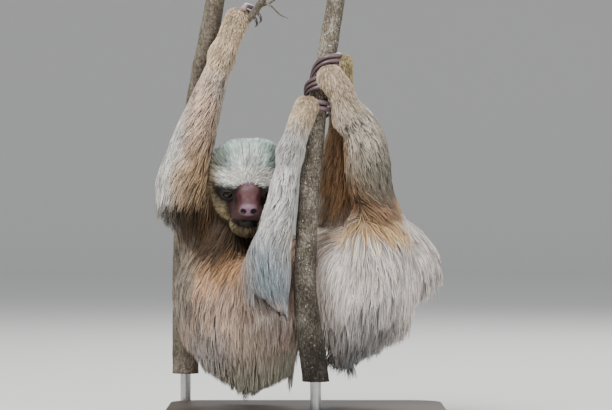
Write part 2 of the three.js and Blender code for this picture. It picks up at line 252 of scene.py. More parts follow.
def write_mesh(name: str, points: Array, faces: list[Array]) -> Object:
    """A smooth-shaded mesh object from arrays.

    Args:
        name: the piece's name.
        points: (n, 3) places in mm.
        faces: arrays (m, corners) of vertex numbers, wound outwards.

    Returns:
        The linked object, at the origin.
    """
    mesh = bpy.data.meshes.new(name)
    corners = np.concatenate([f.ravel() for f in faces]).astype(np.int32)
    sizes = np.concatenate([np.full(len(f), f.shape[1], np.int32) for f in faces])
    starts = np.concatenate([[0], np.cumsum(sizes)[:-1]]).astype(np.int32)
    mesh.vertices.add(len(points))
    mesh.vertices.foreach_set("co", (points * MM).astype(np.float32).ravel())
    mesh.loops.add(len(corners))
    mesh.polygons.add(len(sizes))
    mesh.polygons.foreach_set("loop_start", starts)
    mesh.polygons.foreach_set("vertices", corners)
    mesh.update(calc_edges=True)
    mesh.polygons.foreach_set("use_smooth", np.ones(len(sizes), bool))
    piece = bpy.data.objects.new(name, mesh)
    bpy.context.collection.objects.link(piece)
    return piece


def paint(piece: Object, name: str, values: Array) -> None:
    """Write a colour (n, 3) or a number (n,) for each vertex into a named attribute of a piece.

    Args:
        piece: the piece.
        name: the attribute's name.
        values: its value for each vertex.
    """
    if values.ndim == 2:
        layer = piece.data.attributes.new(name, "FLOAT_COLOR", "POINT")
        rgba = np.column_stack([values, np.ones(len(values))]).astype(np.float32)
        layer.data.foreach_set("color", rgba.ravel())
    else:
        layer = piece.data.attributes.new(name, "FLOAT", "POINT")
        layer.data.foreach_set("value", values.astype(np.float32))


def write_uv(piece: Object, name: str, per_vertex: Array) -> None:
    """Give a piece a UV map whose value at each face corner is its vertex's.

    Args:
        piece: the piece.
        name: the map's name.
        per_vertex: (n, 2) values.
    """
    corners = np.empty(len(piece.data.loops), np.int32)
    piece.data.loops.foreach_get("vertex_index", corners)
    layer = piece.data.uv_layers.new(name=name)
    layer.data.foreach_set("uv", per_vertex[corners].astype(np.float32).ravel())


def ring_faces(count: int, sides: int) -> list[Array]:
    """Faces of a closed shell: rings of points one after another, then a middle point for each end.

    Args:
        count: how many rings.
        sides: points in a ring.

    Returns:
        [quads, first fan, last fan].
    """
    i, j = np.meshgrid(np.arange(count - 1), np.arange(sides), indexing="ij")
    a, b = i * sides + j, i * sides + (j + 1) % sides
    quads = np.stack([a, b, b + sides, a + sides], axis=-1).reshape(-1, 4)
    here = np.arange(sides)
    after = (here + 1) % sides
    top = (count - 1) * sides
    first = np.stack([np.full(sides, count * sides), after, here], axis=-1)
    last = np.stack([np.full(sides, count * sides + 1), top + here, top + after], axis=-1)
    return [quads, first, last]


def sweep(
    path: Array, radii: Array, sides: int, tall: float = 1.0, square: Array | None = None
) -> tuple[Array, list[Array], Array, Array]:
    """A closed tube: rings carried along a path, each closed at its ends by a rounded cap.

    A ring's point is path + r (cos a * across + tall * sin a * deep), where across and deep are
    square to the path.

    Args:
        path: (n, 3) centre line.
        radii: (n,) radii.
        sides: points in a ring.
        tall: the ring's size along deep as a share of its size across.
        square: a direction that deep keeps nearest to.

    Returns:
        (points, faces, around, along): around and along run from 0 to 1 for each point.
    """
    tangent = unit(np.gradient(path, axis=0))
    square = np.array([0.0, 1.0, 0.0]) if square is None else square
    across = unit(np.cross(tangent, square))
    deep = unit(np.cross(tangent, across))
    turn = np.linspace(0, 2 * np.pi, sides, endpoint=False)
    cos, sin = np.cos(turn)[None, :, None], np.sin(turn)[None, :, None]
    circle = cos * across[:, None] + tall * sin * deep[:, None]
    rings = path[:, None] + radii[:, None, None] * circle
    caps = [path[k] + way * tangent[k] * radii[k] * CAP_RISE for k, way in ((0, -1.0), (-1, 1.0))]
    points = np.vstack([rings.reshape(-1, 3), caps])
    n = len(path)
    around = np.append(np.tile(turn / (2 * np.pi), n), [0, 0])
    along = np.append(np.repeat(np.linspace(0, 1, n), sides), [0, 1])
    return points, ring_faces(n, sides), around, along


def outward(piece: Object) -> Object:
    """Turn every face of a closed piece outwards.

    Args:
        piece: a closed piece.

    Returns:
        The same piece.
    """
    shape = bmesh.new()
    shape.from_mesh(piece.data)
    bmesh.ops.recalc_face_normals(shape, faces=shape.faces)
    shape.to_mesh(piece.data)
    shape.free()
    return piece


# ---- Rounded forms of the body ----
class Make(Enum):
    """Whether a form adds flesh or carves it away."""

    ADD = "add"
    CARVE = "carve"


@dataclass(frozen=True)
class Egg:
    """An ellipsoid: three radii about a centre, along the rows of axes."""

    centre: Array
    radii: tuple[float, float, float]
    blend: float = 8.0
    make: Make = Make.ADD
    axes: Array = field(default_factory=lambda: np.eye(3))

    def box(self) -> tuple[Array, Array]:
        """The lowest and highest corners of the form."""
        reach = np.sqrt(((self.axes * np.array(self.radii)[:, None]) ** 2).sum(axis=0))
        return self.centre - reach, self.centre + reach

    def distance(self, x: Array, y: Array, z: Array) -> Array:
        """Distance outside the ellipsoid, as k(k - 1)/g with k = |q/r| and g = |q/r^2|.

        Args:
            x, y, z: places that broadcast together.

        Returns:
            Distances, about right near the surface.
        """
        d = [x - self.centre[0], y - self.centre[1], z - self.centre[2]]
        k = 0.0
        g = 0.0
        for axis, r in zip(self.axes, self.radii):
            q = axis[0] * d[0] + axis[1] * d[1] + axis[2] * d[2]
            k = k + (q / r) ** 2
            g = g + (q / r**2) ** 2
        k = np.sqrt(k)
        return k * (k - 1) / np.maximum(np.sqrt(g), 1e-6)


@dataclass(frozen=True)
class Bone:
    """A round body along a smooth path: stations of a place and a radius, swept between them."""

    stations: tuple
    blend: float = 8.0
    make: Make = Make.ADD
    spans: int = 7

    def line(self) -> Array:
        """The path as rows of x, y, z, radius."""
        raw = np.array([[*place, radius] for place, radius in self.stations])
        return catmull(raw, self.spans + 1) if len(raw) > 2 else raw

    def box(self) -> tuple[Array, Array]:
        """The lowest and highest corners of the form."""
        line = self.line()
        return (line[:, :3] - line[:, 3:]).min(0), (line[:, :3] + line[:, 3:]).max(0)

    def distance(self, x: Array, y: Array, z: Array) -> Array:
        """Distance outside the chain: the least, over its spans, of axis distance minus radius.

        Args:
            x, y, z: places that broadcast together.

        Returns:
            Distances.
        """
        line = self.line()
        best = None
        for a, b in zip(line[:-1], line[1:]):
            d = b[:3] - a[:3]
            dx, dy, dz = x - a[0], y - a[1], z - a[2]
            t = np.clip((dx * d[0] + dy * d[1] + dz * d[2]) / (d @ d), 0.0, 1.0)
            gap = np.sqrt((dx - t * d[0]) ** 2 + (dy - t * d[1]) ** 2 + (dz - t * d[2]) ** 2)
            gap = gap - (a[3] + t * (b[3] - a[3]))
            best = gap if best is None else np.minimum(best, gap)
        return best


def join(field_values: Array, gap: Array, form: Egg | Bone) -> Array:
    """Blend one form into a field of distances, with a rounded fillet where they meet.

    Args:
        field_values: the distances so far.
        gap: the form's own.
        form: the form.

    Returns:
        The joined distances.
    """
    k = form.blend
    if form.make is Make.ADD:
        h = np.maximum(k - np.abs(field_values - gap), 0.0) / k
        return np.minimum(field_values, gap) - h * h * k * 0.25
    h = np.maximum(k - np.abs(field_values + gap), 0.0) / k
    return np.maximum(field_values, -gap) + h * h * k * 0.25


@dataclass(frozen=True)
class Flesh:
    """A body: its forms in the order that they are joined or carved.

    A form works on a grid, and on loose points, only so near to its own box.
    """

    forms: tuple
    far: float = 60.0
    near_grid: float = 14.0
    near_points: float = 40.0

    def on_grid(self, axes: tuple[Array, Array, Array]) -> Array:
        """The distance to the body at every crossing of the grid lines, form by form.

        Args:
            axes: the grid lines' places.

        Returns:
            The distances.
        """
        values = np.full([len(a) for a in axes], self.far, np.float32)
        for form in self.forms:
            low, high = form.box()
            reach = form.blend + self.near_grid
            cut = tuple(
                slice(np.searchsorted(a, lo - reach), np.searchsorted(a, hi + reach))
                for a, lo, hi in zip(axes, low, high)
            )
            x = axes[0][cut[0]][:, None, None].astype(np.float32)
            y = axes[1][cut[1]][None, :, None].astype(np.float32)
            z = axes[2][cut[2]][None, None, :].astype(np.float32)
            values[cut] = join(values[cut], form.distance(x, y, z), form)
        return values

    def distance(self, points: Array) -> Array:
        """The distance to the body at loose points (n, 3).

        Args:
            points: the places.

        Returns:
            (n,) distances.
        """
        values = np.full(len(points), self.far)
        for form in self.forms:
            low, high = form.box()
            reach = form.blend + self.near_points
            near = np.all((points > low - reach) & (points < high + reach), axis=1)
            if near.any():
                x, y, z = points[near].T
                values[near] = join(values[near], form.distance(x, y, z), form)
        return values

    def normal(self, points: Array, step: float = 0.8) -> Array:
        """The way that the distance grows fastest, from distances at a tetrahedron's corners.

        Args:
            points: (n, 3) places.
            step: the tetrahedron's size.

        Returns:
            (n, 3) outward directions.
        """
        total = np.zeros_like(points)
        for corner in ((1, -1, -1), (-1, -1, 1), (-1, 1, -1), (1, 1, 1)):
            corner = np.array(corner, float)
            total += corner * self.distance(points + corner * step)[:, None]
        return unit(total)


def graded(
    low: float, high: float, coarse: float, fine_low: float, fine_high: float, fine: float
) -> Array:
    """Grid lines from low to high, coarse apart, and fine apart from fine_low to fine_high.

    Args:
        low, high: the ends.
        coarse: the wide spacing.
        fine_low, fine_high: where the fine lines begin and end.
        fine: the fine spacing.

    Returns:
        The lines' places.
    """
    steps = math.ceil((fine_low - low) / coarse)
    before = np.arange(fine_low - coarse * steps, fine_low - 1e-6, coarse)
    middle = np.arange(fine_low, fine_high, fine)
    after = np.arange(fine_high, high + coarse, coarse)
    return np.concatenate([before, middle, after])


def surface_net(values: Array, axes: tuple[Array, Array, Array]) -> tuple[Array, Array]:
    """The zero surface of a grid of distances.

    It has one point in each cell that it crosses, at the mean of where it crosses the cell's edges,
    and one quad across each grid edge that it crosses.

    Args:
        values: distances, negative inside.
        axes: the grid lines' places.

    Returns:
        (points, quads), wound outwards.
    """
    inside = values < 0
    size = np.array(values.shape) - 1
    count = np.zeros(size, np.int8)
    for c in np.ndindex(2, 2, 2):
        count += inside[c[0] : c[0] + size[0], c[1] : c[1] + size[1], c[2] : c[2] + size[2]]
    active = (count > 0) & (count < 8)
    cells = np.argwhere(active)
    number = np.full(active.shape, -1, np.int64)
    number[active] = np.arange(len(cells))
    total = np.zeros((len(cells), 3))
    hits = np.zeros(len(cells))
    for axis in range(3):
        u, v = (axis + 1) % 3, (axis + 2) % 3
        for du, dv in np.ndindex(2, 2):
            a = cells.copy()
            a[:, u] += du
            a[:, v] += dv
            b = a.copy()
            b[:, axis] += 1
            va, vb = values[tuple(a.T)], values[tuple(b.T)]
            hit = (va < 0) != (vb < 0)
            t = va / np.where(hit, va - vb, 1.0)
            place = np.stack([axes[k][a[:, k]] for k in range(3)], axis=-1)
            place[:, axis] += t * (axes[axis][b[:, axis]] - axes[axis][a[:, axis]])
            total[hit] += place[hit]
            hits += hit
    quads = []
    for axis in range(3):
        u, v = (axis + 1) % 3, (axis + 2) % 3
        low = np.take(inside, range(values.shape[axis] - 1), axis)
        high = np.take(inside, range(1, values.shape[axis]), axis)
        e = np.argwhere(low != high)
        e = e[(e[:, u] > 0) & (e[:, v] > 0)]
        around = []
        for du, dv in ((-1, -1), (0, -1), (0, 0), (-1, 0)):
            c = e.copy()
            c[:, u] += du
            c[:, v] += dv
            around.append(number[tuple(c.T)])
        quad = np.stack(around, axis=-1)
        flip = ~low[tuple(e.T)]
        quad[flip] = quad[flip][:, ::-1]
        quads.append(quad)
    return total / hits[:, None], np.concatenate(quads)


# ---- Palette and markings ----
@dataclass(frozen=True)
class Palette:
    """The coat's and the skin's colours, linear RGB; a few are painted shade."""

    cream: Colour = (0.80, 0.76, 0.70)
    crown: Colour = (0.41, 0.53, 0.505)
    temple: Colour = (0.095, 0.11, 0.085)
    cheek: Colour = (0.29, 0.23, 0.13)
    mask: Colour = (0.014, 0.009, 0.007)
    # painted shadow in the throat, between the left arm, the head and the chest
    throat_shadow: Colour = (0.040, 0.022, 0.010)
    inner: Colour = (0.24, 0.135, 0.07)
    arm: Colour = (0.44, 0.385, 0.335)
    arm_grey: Colour = (0.52, 0.50, 0.48)
    # painted shadow under the left elbow
    arm_warm: Colour = (0.48, 0.33, 0.24)
    elbow_underside_shadow: Colour = (0.045, 0.035, 0.022)
    elbow: Colour = (0.19, 0.24, 0.275)
    hand: Colour = (0.62, 0.47, 0.32)
    foot: Colour = (0.54, 0.42, 0.30)
    shin: Colour = (0.44, 0.385, 0.32)
    shin_low: Colour = (0.09, 0.062, 0.038)
    olive: Colour = (0.15, 0.14, 0.115)
    knee: Colour = (0.25, 0.14, 0.08)
    chest: Colour = (0.41, 0.225, 0.11)
    chest_pale: Colour = (0.48, 0.34, 0.265)
    flank: Colour = (0.305, 0.24, 0.19)
    flank_grey: Colour = (0.19, 0.165, 0.135)
    fringe: Colour = (0.36, 0.34, 0.27)
    back: Colour = (0.36, 0.30, 0.23)
    rump: Colour = (0.76, 0.67, 0.62)
    rump_gold: Colour = (0.86, 0.52, 0.23)
    rump_grey: Colour = (0.33, 0.325, 0.32)
    snout: Colour = (0.042, 0.018, 0.016)
    bridge: Colour = (0.105, 0.050, 0.054)
    nose: Colour = (0.185, 0.11, 0.145)
    lip: Colour = (0.012, 0.007, 0.007)
    corner: Colour = (0.055, 0.014, 0.016)
    chin: Colour = (0.125, 0.095, 0.050)
    calf: Colour = (0.175, 0.15, 0.11)
    # painted shade for the fold between the right shin and the rump
    hollow: Colour = (0.20, 0.12, 0.068)
    far_foot: Colour = (0.40, 0.32, 0.165)
    arm_gold: Colour = (0.43, 0.29, 0.17)


PALETTE = Palette()


@dataclass(frozen=True)
class Mark:
    """A soft-edged marking: a colour in full inside an ellipsoid and fading out over its edge."""

    place: Array
    reach: tuple[float, float, float]
    colour: Colour
    strength: float = 1.0
    edge: float = 0.5

    def weight(self, points: Array) -> Array:
        """How strongly the marking shows at each point, from 0 to its strength."""
        far = np.linalg.norm((points - self.place) / np.array(self.reach), axis=1)
        return self.strength * (1 - smooth(1 - self.edge, 1 + self.edge, far))


@dataclass(frozen=True)
class Zone:
    """A stretch of the coat: its axis, its hair and its colours.

    The axis runs the way that the hair lies. Tones are colours at shares of the way along it. A hem
    (height, x, slope) is the line that the locks are trimmed to: height + slope * |aside from x|.
    """

    name: str
    axis: tuple
    tones: tuple
    length: tuple[float, float]
    width: float
    spacing: float
    steps: int
    lift: float = 22.0
    droop: float = 0.5
    drift: tuple[float, float, float] = (0.0, 0.0, 0.0)
    along: float = 1.0
    splay: float = 0.0
    hem: tuple[float, float, float] = (0.0, 0.0, 0.0)
    clump: float = 13.0
    gather: float = 0.5
    wave: float = 1.2
    depth: float = 12.0

    def line(self) -> Array:
        """The axis as rows of x, y, z, radius."""
        raw = np.array([[*place, radius] for place, radius in self.axis])
        return catmull(raw, 9)

    def nearest(self, points: Array) -> tuple[Array, Array, Array, Array]:
        """Where each point lies beside the axis.

        Args:
            points: (n, 3) places.

        Returns:
            (gap, share, foot, heading): the distance outside the axis's radius, the share of the
            way along, the nearest place on the axis and the axis's direction there.
        """
        line = self.line()
        gap = np.full(len(points), np.inf)
        share = np.zeros(len(points))
        foot = np.zeros_like(points)
        heading = np.zeros_like(points)
        for i, (a, b) in enumerate(zip(line[:-1], line[1:])):
            d = b[:3] - a[:3]
            t = np.clip(((points - a[:3]) @ d) / (d @ d), 0.0, 1.0)
            place = a[:3] + t[:, None] * d
            here = np.linalg.norm(points - place, axis=1) - (a[3] + t * (b[3] - a[3]))
            closer = here < gap
            gap = np.where(closer, here, gap)
            share = np.where(closer, (i + t) / (len(line) - 1), share)
            foot[closer] = place[closer]
            heading[closer] = unit(d)
        return gap, share, foot, heading

    def tone(self, share: Array) -> Array:
        """The coat's colour at each share of the way along the axis.

        Args:
            share: (n,) shares.

        Returns:
            (n, 3) colours.
        """
        shares = [s for s, _ in self.tones]
        colours = np.array([c for _, c in self.tones])
        return np.stack([np.interp(share, shares, colours[:, k]) for k in range(3)], axis=-1)


def body_zones() -> list[Zone]:
    """The coat's zones, from the head to the feet."""
    p = PALETTE
    arm = dict(
        width=0.9, spacing=2.85, steps=4, lift=13, droop=0.4, depth=9, clump=11, gather=0.6,
        wave=1.6,
    )
    leg = {**arm, "spacing": 2.9}
    paw = dict(
        length=(8, 13), width=0.46, spacing=1.72, steps=3, lift=15, droop=0.1, clump=5, gather=0.5,
        wave=0.9, depth=3.4, splay=0.5,
    )
    trunk = dict(
        width=1.0, spacing=3.27, steps=5, lift=12, droop=0.6, clump=15, gather=0.6, wave=1.8,
        depth=13, along=0.1, drift=(0, 0, -1),
    )
    return [
        Zone(
            "head",
            ((in_head(0, 48, -46), 6), (in_head(0, 4, -40), 44), (in_head(0, -38, -22), 20)),
            ((0, p.crown), (1, p.crown)),
            length=(9, 24), width=0.46, spacing=1.63, steps=3, lift=11, droop=0.12, clump=7,
            gather=0.45, wave=0.7, depth=6,
        ),
        Zone(
            "neck",
            ((at(-86, 92, 330), 36), (at(-100, 98, 286), 42), (at(-112, 96, 236), 52)),
            ((0, p.flank_grey), (1, p.back)),
            length=(26, 40), width=0.95, spacing=3.1, steps=5, depth=10,
        ),
        Zone(
            "torso_chest",
            ((at(-104, 96, 262), 52), (at(-100, 96, 180), 74), (at(-78, 97, 110), 56)),
            ((0, p.chest), (0.25, p.chest), (0.5, p.chest_pale), (0.75, p.flank), (1, p.fringe)),
            length=(52, 72), splay=0.25, hem=(34, -84, 0.5), **trunk,
        ),
        Zone(
            "torso_belly",
            ((at(6, 106, 270), 40), (at(6, 108, 205), 66), (at(8, 108, 160), 50)),
            ((0, p.flank), (0.4, p.chest_pale), (1, p.flank)),
            length=(44, 60), splay=0.2, **{**trunk, "spacing": 3.6},
        ),
        Zone(
            "torso_rump",
            ((at(104, 108, 274), 40), (at(104, 108, 215), 68), (at(84, 106, 150), 50)),
            ((0, p.flank), (0.2, p.rump), (0.6, p.rump), (1, p.rump_grey)),
            length=(50, 62), splay=0.4, **trunk,
        ),
        Zone(
            "upper_arm_left",
            ((joint("elbow_left"), 26), (between("elbow_left", "shoulder_left"), 32),
             (joint("shoulder_left"), 38)),
            ((0, p.arm_grey), (0.35, p.back), (1, p.back)),
            length=(40, 50), drift=(-0.15, 0, 0), **arm,
        ),
        Zone(
            "forearm_left",
            ((joint("wrist_left"), 14), (between("wrist_left", "elbow_left"), 21),
             (joint("elbow_left"), 27), (joint("elbow_left", -21, 8, -42), 12)),
            ((0, p.hand), (0.14, p.arm), (0.6, p.arm), (1, p.arm_grey)),
            length=(18, 50), drift=(-0.2, 0, 0), **arm,
        ),
        Zone(
            "hand_left",
            ((at(-101, 38, 594), 14), (at(-110, 41, 570), 16), (joint("wrist_left"), 14)),
            ((0, p.hand), (1, p.hand)),
            **paw,
        ),
        Zone(
            "upper_arm_right",
            ((joint("elbow_right", -4, 8, -8), 24),
             (between("elbow_right", "shoulder_right"), 32), (joint("shoulder_right"), 36)),
            ((0, p.chest), (0.4, p.flank), (1, p.flank)),
            length=(40, 56), drift=(0, 0, -0.6), **arm,
        ),
        Zone(
            "forearm_right",
            ((joint("wrist_right"), 14), (between("wrist_right", "elbow_right"), 18),
             (joint("elbow_right"), 25), (joint("elbow_right", 8, -2, -50), 14)),
            ((0, p.arm_grey), (0.55, p.arm_grey), (0.85, p.elbow), (1, p.elbow)),
            length=(18, 66), hem=(134, -5, 0.75), **arm,
        ),
        Zone(
            "hand_right",
            ((at(1, -27, 463), 14), (at(-9, -27, 434), 16), (joint("wrist_right"), 14)),
            ((0, p.hand), (0.35, p.hand), (0.8, p.arm_grey)),
            **paw,
        ),
        Zone(
            "thigh_left",
            ((joint("knee_left"), 30), (between("knee_left", "hip_left"), 40),
             (joint("hip_left"), 46)),
            ((0, p.shin_low), (0.4, p.back), (1, p.back)),
            length=(34, 56), **leg,
        ),
        Zone(
            "shin_left",
            ((joint("ankle_left"), 17), (between("ankle_left", "knee_left"), 24),
             (joint("knee_left"), 29)),
            ((0, p.far_foot), (0.2, p.shin), (0.4, p.calf), (1, p.calf)),
            length=(18, 44), **leg,
        ),
        Zone(
            "foot_left",
            ((at(56, 3, 528), 13), (at(58, 14, 496), 15), (joint("ankle_left"), 16)),
            ((0, p.far_foot), (1, p.far_foot)),
            **paw,
        ),
        Zone(
            "thigh_right",
            ((joint("knee_right", -2, 4, -6), 24), (between("knee_right", "hip_right"), 42),
             (joint("hip_right", -6, 0, -30), 44)),
            ((0, p.flank), (0.18, p.rump_gold), (0.4, p.rump), (1, p.rump)),
            length=(44, 66), **leg,
        ),
        Zone(
            "shin_right",
            ((joint("ankle_right"), 18), (at(82, -6, 412), 26), (at(90, 0, 366), 28),
             (at(98, 6, 336), 24)),
            ((0, p.foot), (0.1, p.shin), (0.28, p.shin), (0.62, p.calf), (1, p.shin_low)),
            length=(16, 50), drift=(0.2, 0, 0), **leg,
        ),
        Zone(
            "foot_right",
            ((at(34, -32, 505), 15), (at(48, -27, 480), 17), (joint("ankle_right", 2, 0, 0), 17)),
            ((0, p.foot), (0.5, p.foot), (1, p.shin)),
            **paw,
        ),
    ]


def body_marks() -> list[Mark]:
    """The markings laid over the zones' own colours, in order; some are painted shade or painted
    light.
    """
    p = PALETTE
    return [
        Mark(at(-200, 60, 400), (30, 70, 90), p.arm_grey, 0.8),
        Mark(at(-150, 40, 430), (24, 60, 90), p.arm_warm, 0.8),
        Mark(at(-168, 40, 352), (30, 60, 40), p.arm_gold, 0.8),
        Mark(at(-150, 40, 352), (18, 60, 66), p.arm_gold, 0.8),
        # painted shadow on the underside of the left elbow and its hanging hair
        Mark(at(-190, 40, 312), (34, 60, 18), p.elbow_underside_shadow, 0.85),
        # painted shadow in the throat, between the left arm and the head
        Mark(at(-148, 50, 286), (50, 90, 40), p.throat_shadow, 1.0),
        Mark(at(-100, 30, 262), (72, 56, 34), p.throat_shadow, 1.0),
        Mark(at(-184, 60, 205), (28, 60, 60), p.flank_grey, 0.9),
        Mark(at(-112, -20, 222), (52, 60, 26), p.chest, 0.9),
        Mark(at(-110, -20, 180), (46, 60, 30), p.chest_pale, 0.6),
        # painted light: a paler patch that lifts the shade on the chest under the right forearm's
        # hanging hair
        Mark(at(-58, -20, 165), (30, 60, 40), p.chest_pale, 0.8),
        Mark(at(-60, -20, 110), (66, 70, 30), p.flank, 0.7),
        # painted light: a paler grey that lifts the shade low on the chest's left
        Mark(at(-150, 40, 120), (36, 70, 34), p.rump_grey, 0.6),
        # painted light: two more pale patches that lift the same shade between the right forearm's
        # hanging hair and the chest
        Mark(at(-46, 62, 156), (40, 62, 36), p.chest_pale, 0.85),
        Mark(at(-54, 50, 160), (30, 60, 24), p.rump, 0.6),
        Mark(at(-80, 0, 60), (90, 90, 40), p.fringe, 0.9),
        Mark(at(-56, -30, 228), (36, 44, 52), p.elbow, 0.9, 0.7),
        Mark(at(-22, -40, 262), (26, 50, 40), p.arm_grey, 0.5, 0.8),
        Mark(at(56, 30, 400), (34, 46, 64), p.inner, 1.0),
        Mark(at(54, 62, 342), (36, 46, 44), p.inner, 1.0),
        Mark(at(14, 84, 325), (13, 60, 40), p.back, 0.9),
        Mark(at(118, 0, 366), (30, 60, 60), p.olive, 0.6, 0.9),
        Mark(at(94, -20, 316), (34, 50, 13), p.knee, 0.8, 0.8),
        # painted shade in the fold between the right shin and the rump
        Mark(at(60, -20, 322), (24, 50, 34), p.hollow, 1.0),
        Mark(at(84, -20, 304), (30, 50, 14), p.hollow, 0.9),
        Mark(at(38, 70, 268), (34, 60, 20), p.rump, 0.8),
        Mark(at(76, -20, 226), (64, 70, 36), p.rump, 0.85),
        Mark(at(36, -20, 222), (28, 70, 46), p.rump, 0.8),
        Mark(at(88, -20, 276), (88, 90, 15), p.rump_gold, 0.85, 0.6),
        Mark(at(80, 0, 146), (90, 90, 40), p.rump_grey, 0.85),
        # painted light: a paler patch that lifts the shade on the rump's lower left, by the stem
        Mark(at(38, -20, 146), (36, 70, 66), p.rump, 0.9),
        Mark(at(170, 60, 240), (40, 70, 40), p.rump_grey, 0.35),
    ]


@dataclass(frozen=True)
class Comb:
    """A sweep in the lie of the hair: an ellipsoid where it turns to a heading, or off a centre."""

    place: Array
    reach: tuple[float, float, float]
    heading: tuple[float, float, float] = (0.0, 0.0, 0.0)
    spread: float = 0.0
    strength: float = 1.5

    def push(self, points: Array) -> Array:
        """The heading plus spread times the way from the centre, fading outwards.

        Args:
            points: (n, 3) places.

        Returns:
            (n, 3) pushes.
        """
        offset = points - self.place
        far = np.linalg.norm(offset / np.array(self.reach), axis=1)
        way = np.array(self.heading) + self.spread * unit(offset)
        return way * (self.strength * (1 - smooth(0.4, 1.5, far)))[:, None]


def body_combs() -> list[Comb]:
    """The sweeps in the coat."""
    return [
        Comb(at(-16, -30, 300), (40, 60, 34), (-1.0, 0, -0.45), strength=2.2),
        Comb(at(-40, -30, 240), (50, 60, 40), (-0.25, 0, -1.0)),
        Comb(at(-44, -30, 196), (46, 60, 36), (0.75, 0, -1.0)),
        Comb(at(-100, 0, 250), (90, 70, 60), (0, 0, -0.3), 0.9),
        Comb(at(-150, 20, 220), (40, 70, 50), (-0.6, 0, -0.9), strength=1.2),
        Comb(at(-204, 60, 380), (22, 60, 90), (-0.35, 0, -1.0)),
        Comb(at(-148, 20, 430), (34, 60, 80), (-0.9, 0, -0.6), strength=1.6),
        Comb(at(-160, 20, 350), (36, 50, 50), (-0.95, 0, -0.5), strength=1.6),
        Comb(at(-200, 60, 316), (30, 60, 30), (0.1, 0, -1.0)),
        Comb(at(84, 0, 292), (100, 80, 66), (0, 0, -0.3), 1.3),
        Comb(at(120, 0, 370), (40, 60, 60), (0.45, 0, -1.0)),
        Comb(at(110, -20, 312), (50, 50, 20), (0.9, 0, -0.5)),
        Comb(at(136, 20, 262), (40, 60, 30), (1.0, 0, -0.5), strength=1.0),
        Comb(at(170, 110, 240), (50, 60, 50), (0.7, 0, -0.5)),
    ]


def head_marks() -> list[tuple[tuple, tuple, Colour, float]]:
    """The face's markings in the head's frame: place, reach, colour and strength, in order."""
    p = PALETTE
    marks = [((0, 64, -50), (60, 34, 60), p.crown, 1.0), ((0, 20, -100), (70, 70, 44), p.back, 0.7)]
    for side in (-1, 1):
        marks += [
            ((side * 43, 45, -36), (19, 21, 34), p.temple, 0.82),
            ((side * 55, 16, -50), (12, 30, 24), p.temple, 0.55),
        ]
    marks += [
        ((0, 50, -20), (24, 22, 40), p.cream, 0.4),
        ((0, 25, 0), (48, 16, 50), p.cream, 1.0),
        ((0, -36, -20), (80, 32, 90), p.cheek, 1.0),
        ((0, -54, 10), (34, 16, 36), p.chin, 0.9),
        # painted shadow under the chin
        ((0, -66, -8), (60, 12, 60), p.throat_shadow, 0.8),
    ]
    for side in (-1, 1):
        marks += [
            ((side * 52, -8, -14), (14, 16, 40), p.chin, 0.8),
            ((side * 34, 1, -4), (28, 13.5, 60), p.mask, 1.0),
            ((side * 26, -20, 14), (12, 20, 28), p.mask, 0.9),
        ]
    return marks


def bare_weight(points: Array, margin: float = 0.0) -> Array:
    """How bare the face is: 1 on the snout and in the sockets, 0 beyond their edges plus margin.

    Args:
        points: (n, 3) places.
        margin: how far to widen it, in mm.

    Returns:
        (n,) weights.
    """
    side, up, front = head_place(points).T
    side = np.abs(side)
    half = 17.5 + 10 * smooth(4, -12, up) + margin
    top = up + 0.022 * side**2
    snout = smooth(1.14, 0.9, side / half) * smooth(18 + margin, 12 + margin, top)
    snout *= smooth(-42 - margin, -36 - margin, up)
    snout *= smooth(-8 - margin, 4 - margin, front)
    rim = np.hypot((side - EYE_SIDE) / 1.12, up * 1.2) - 8.8 - margin
    socket = smooth(2, -1, rim) * smooth(-14, -6, front)
    return np.clip(np.maximum(snout, socket), 0, 1)


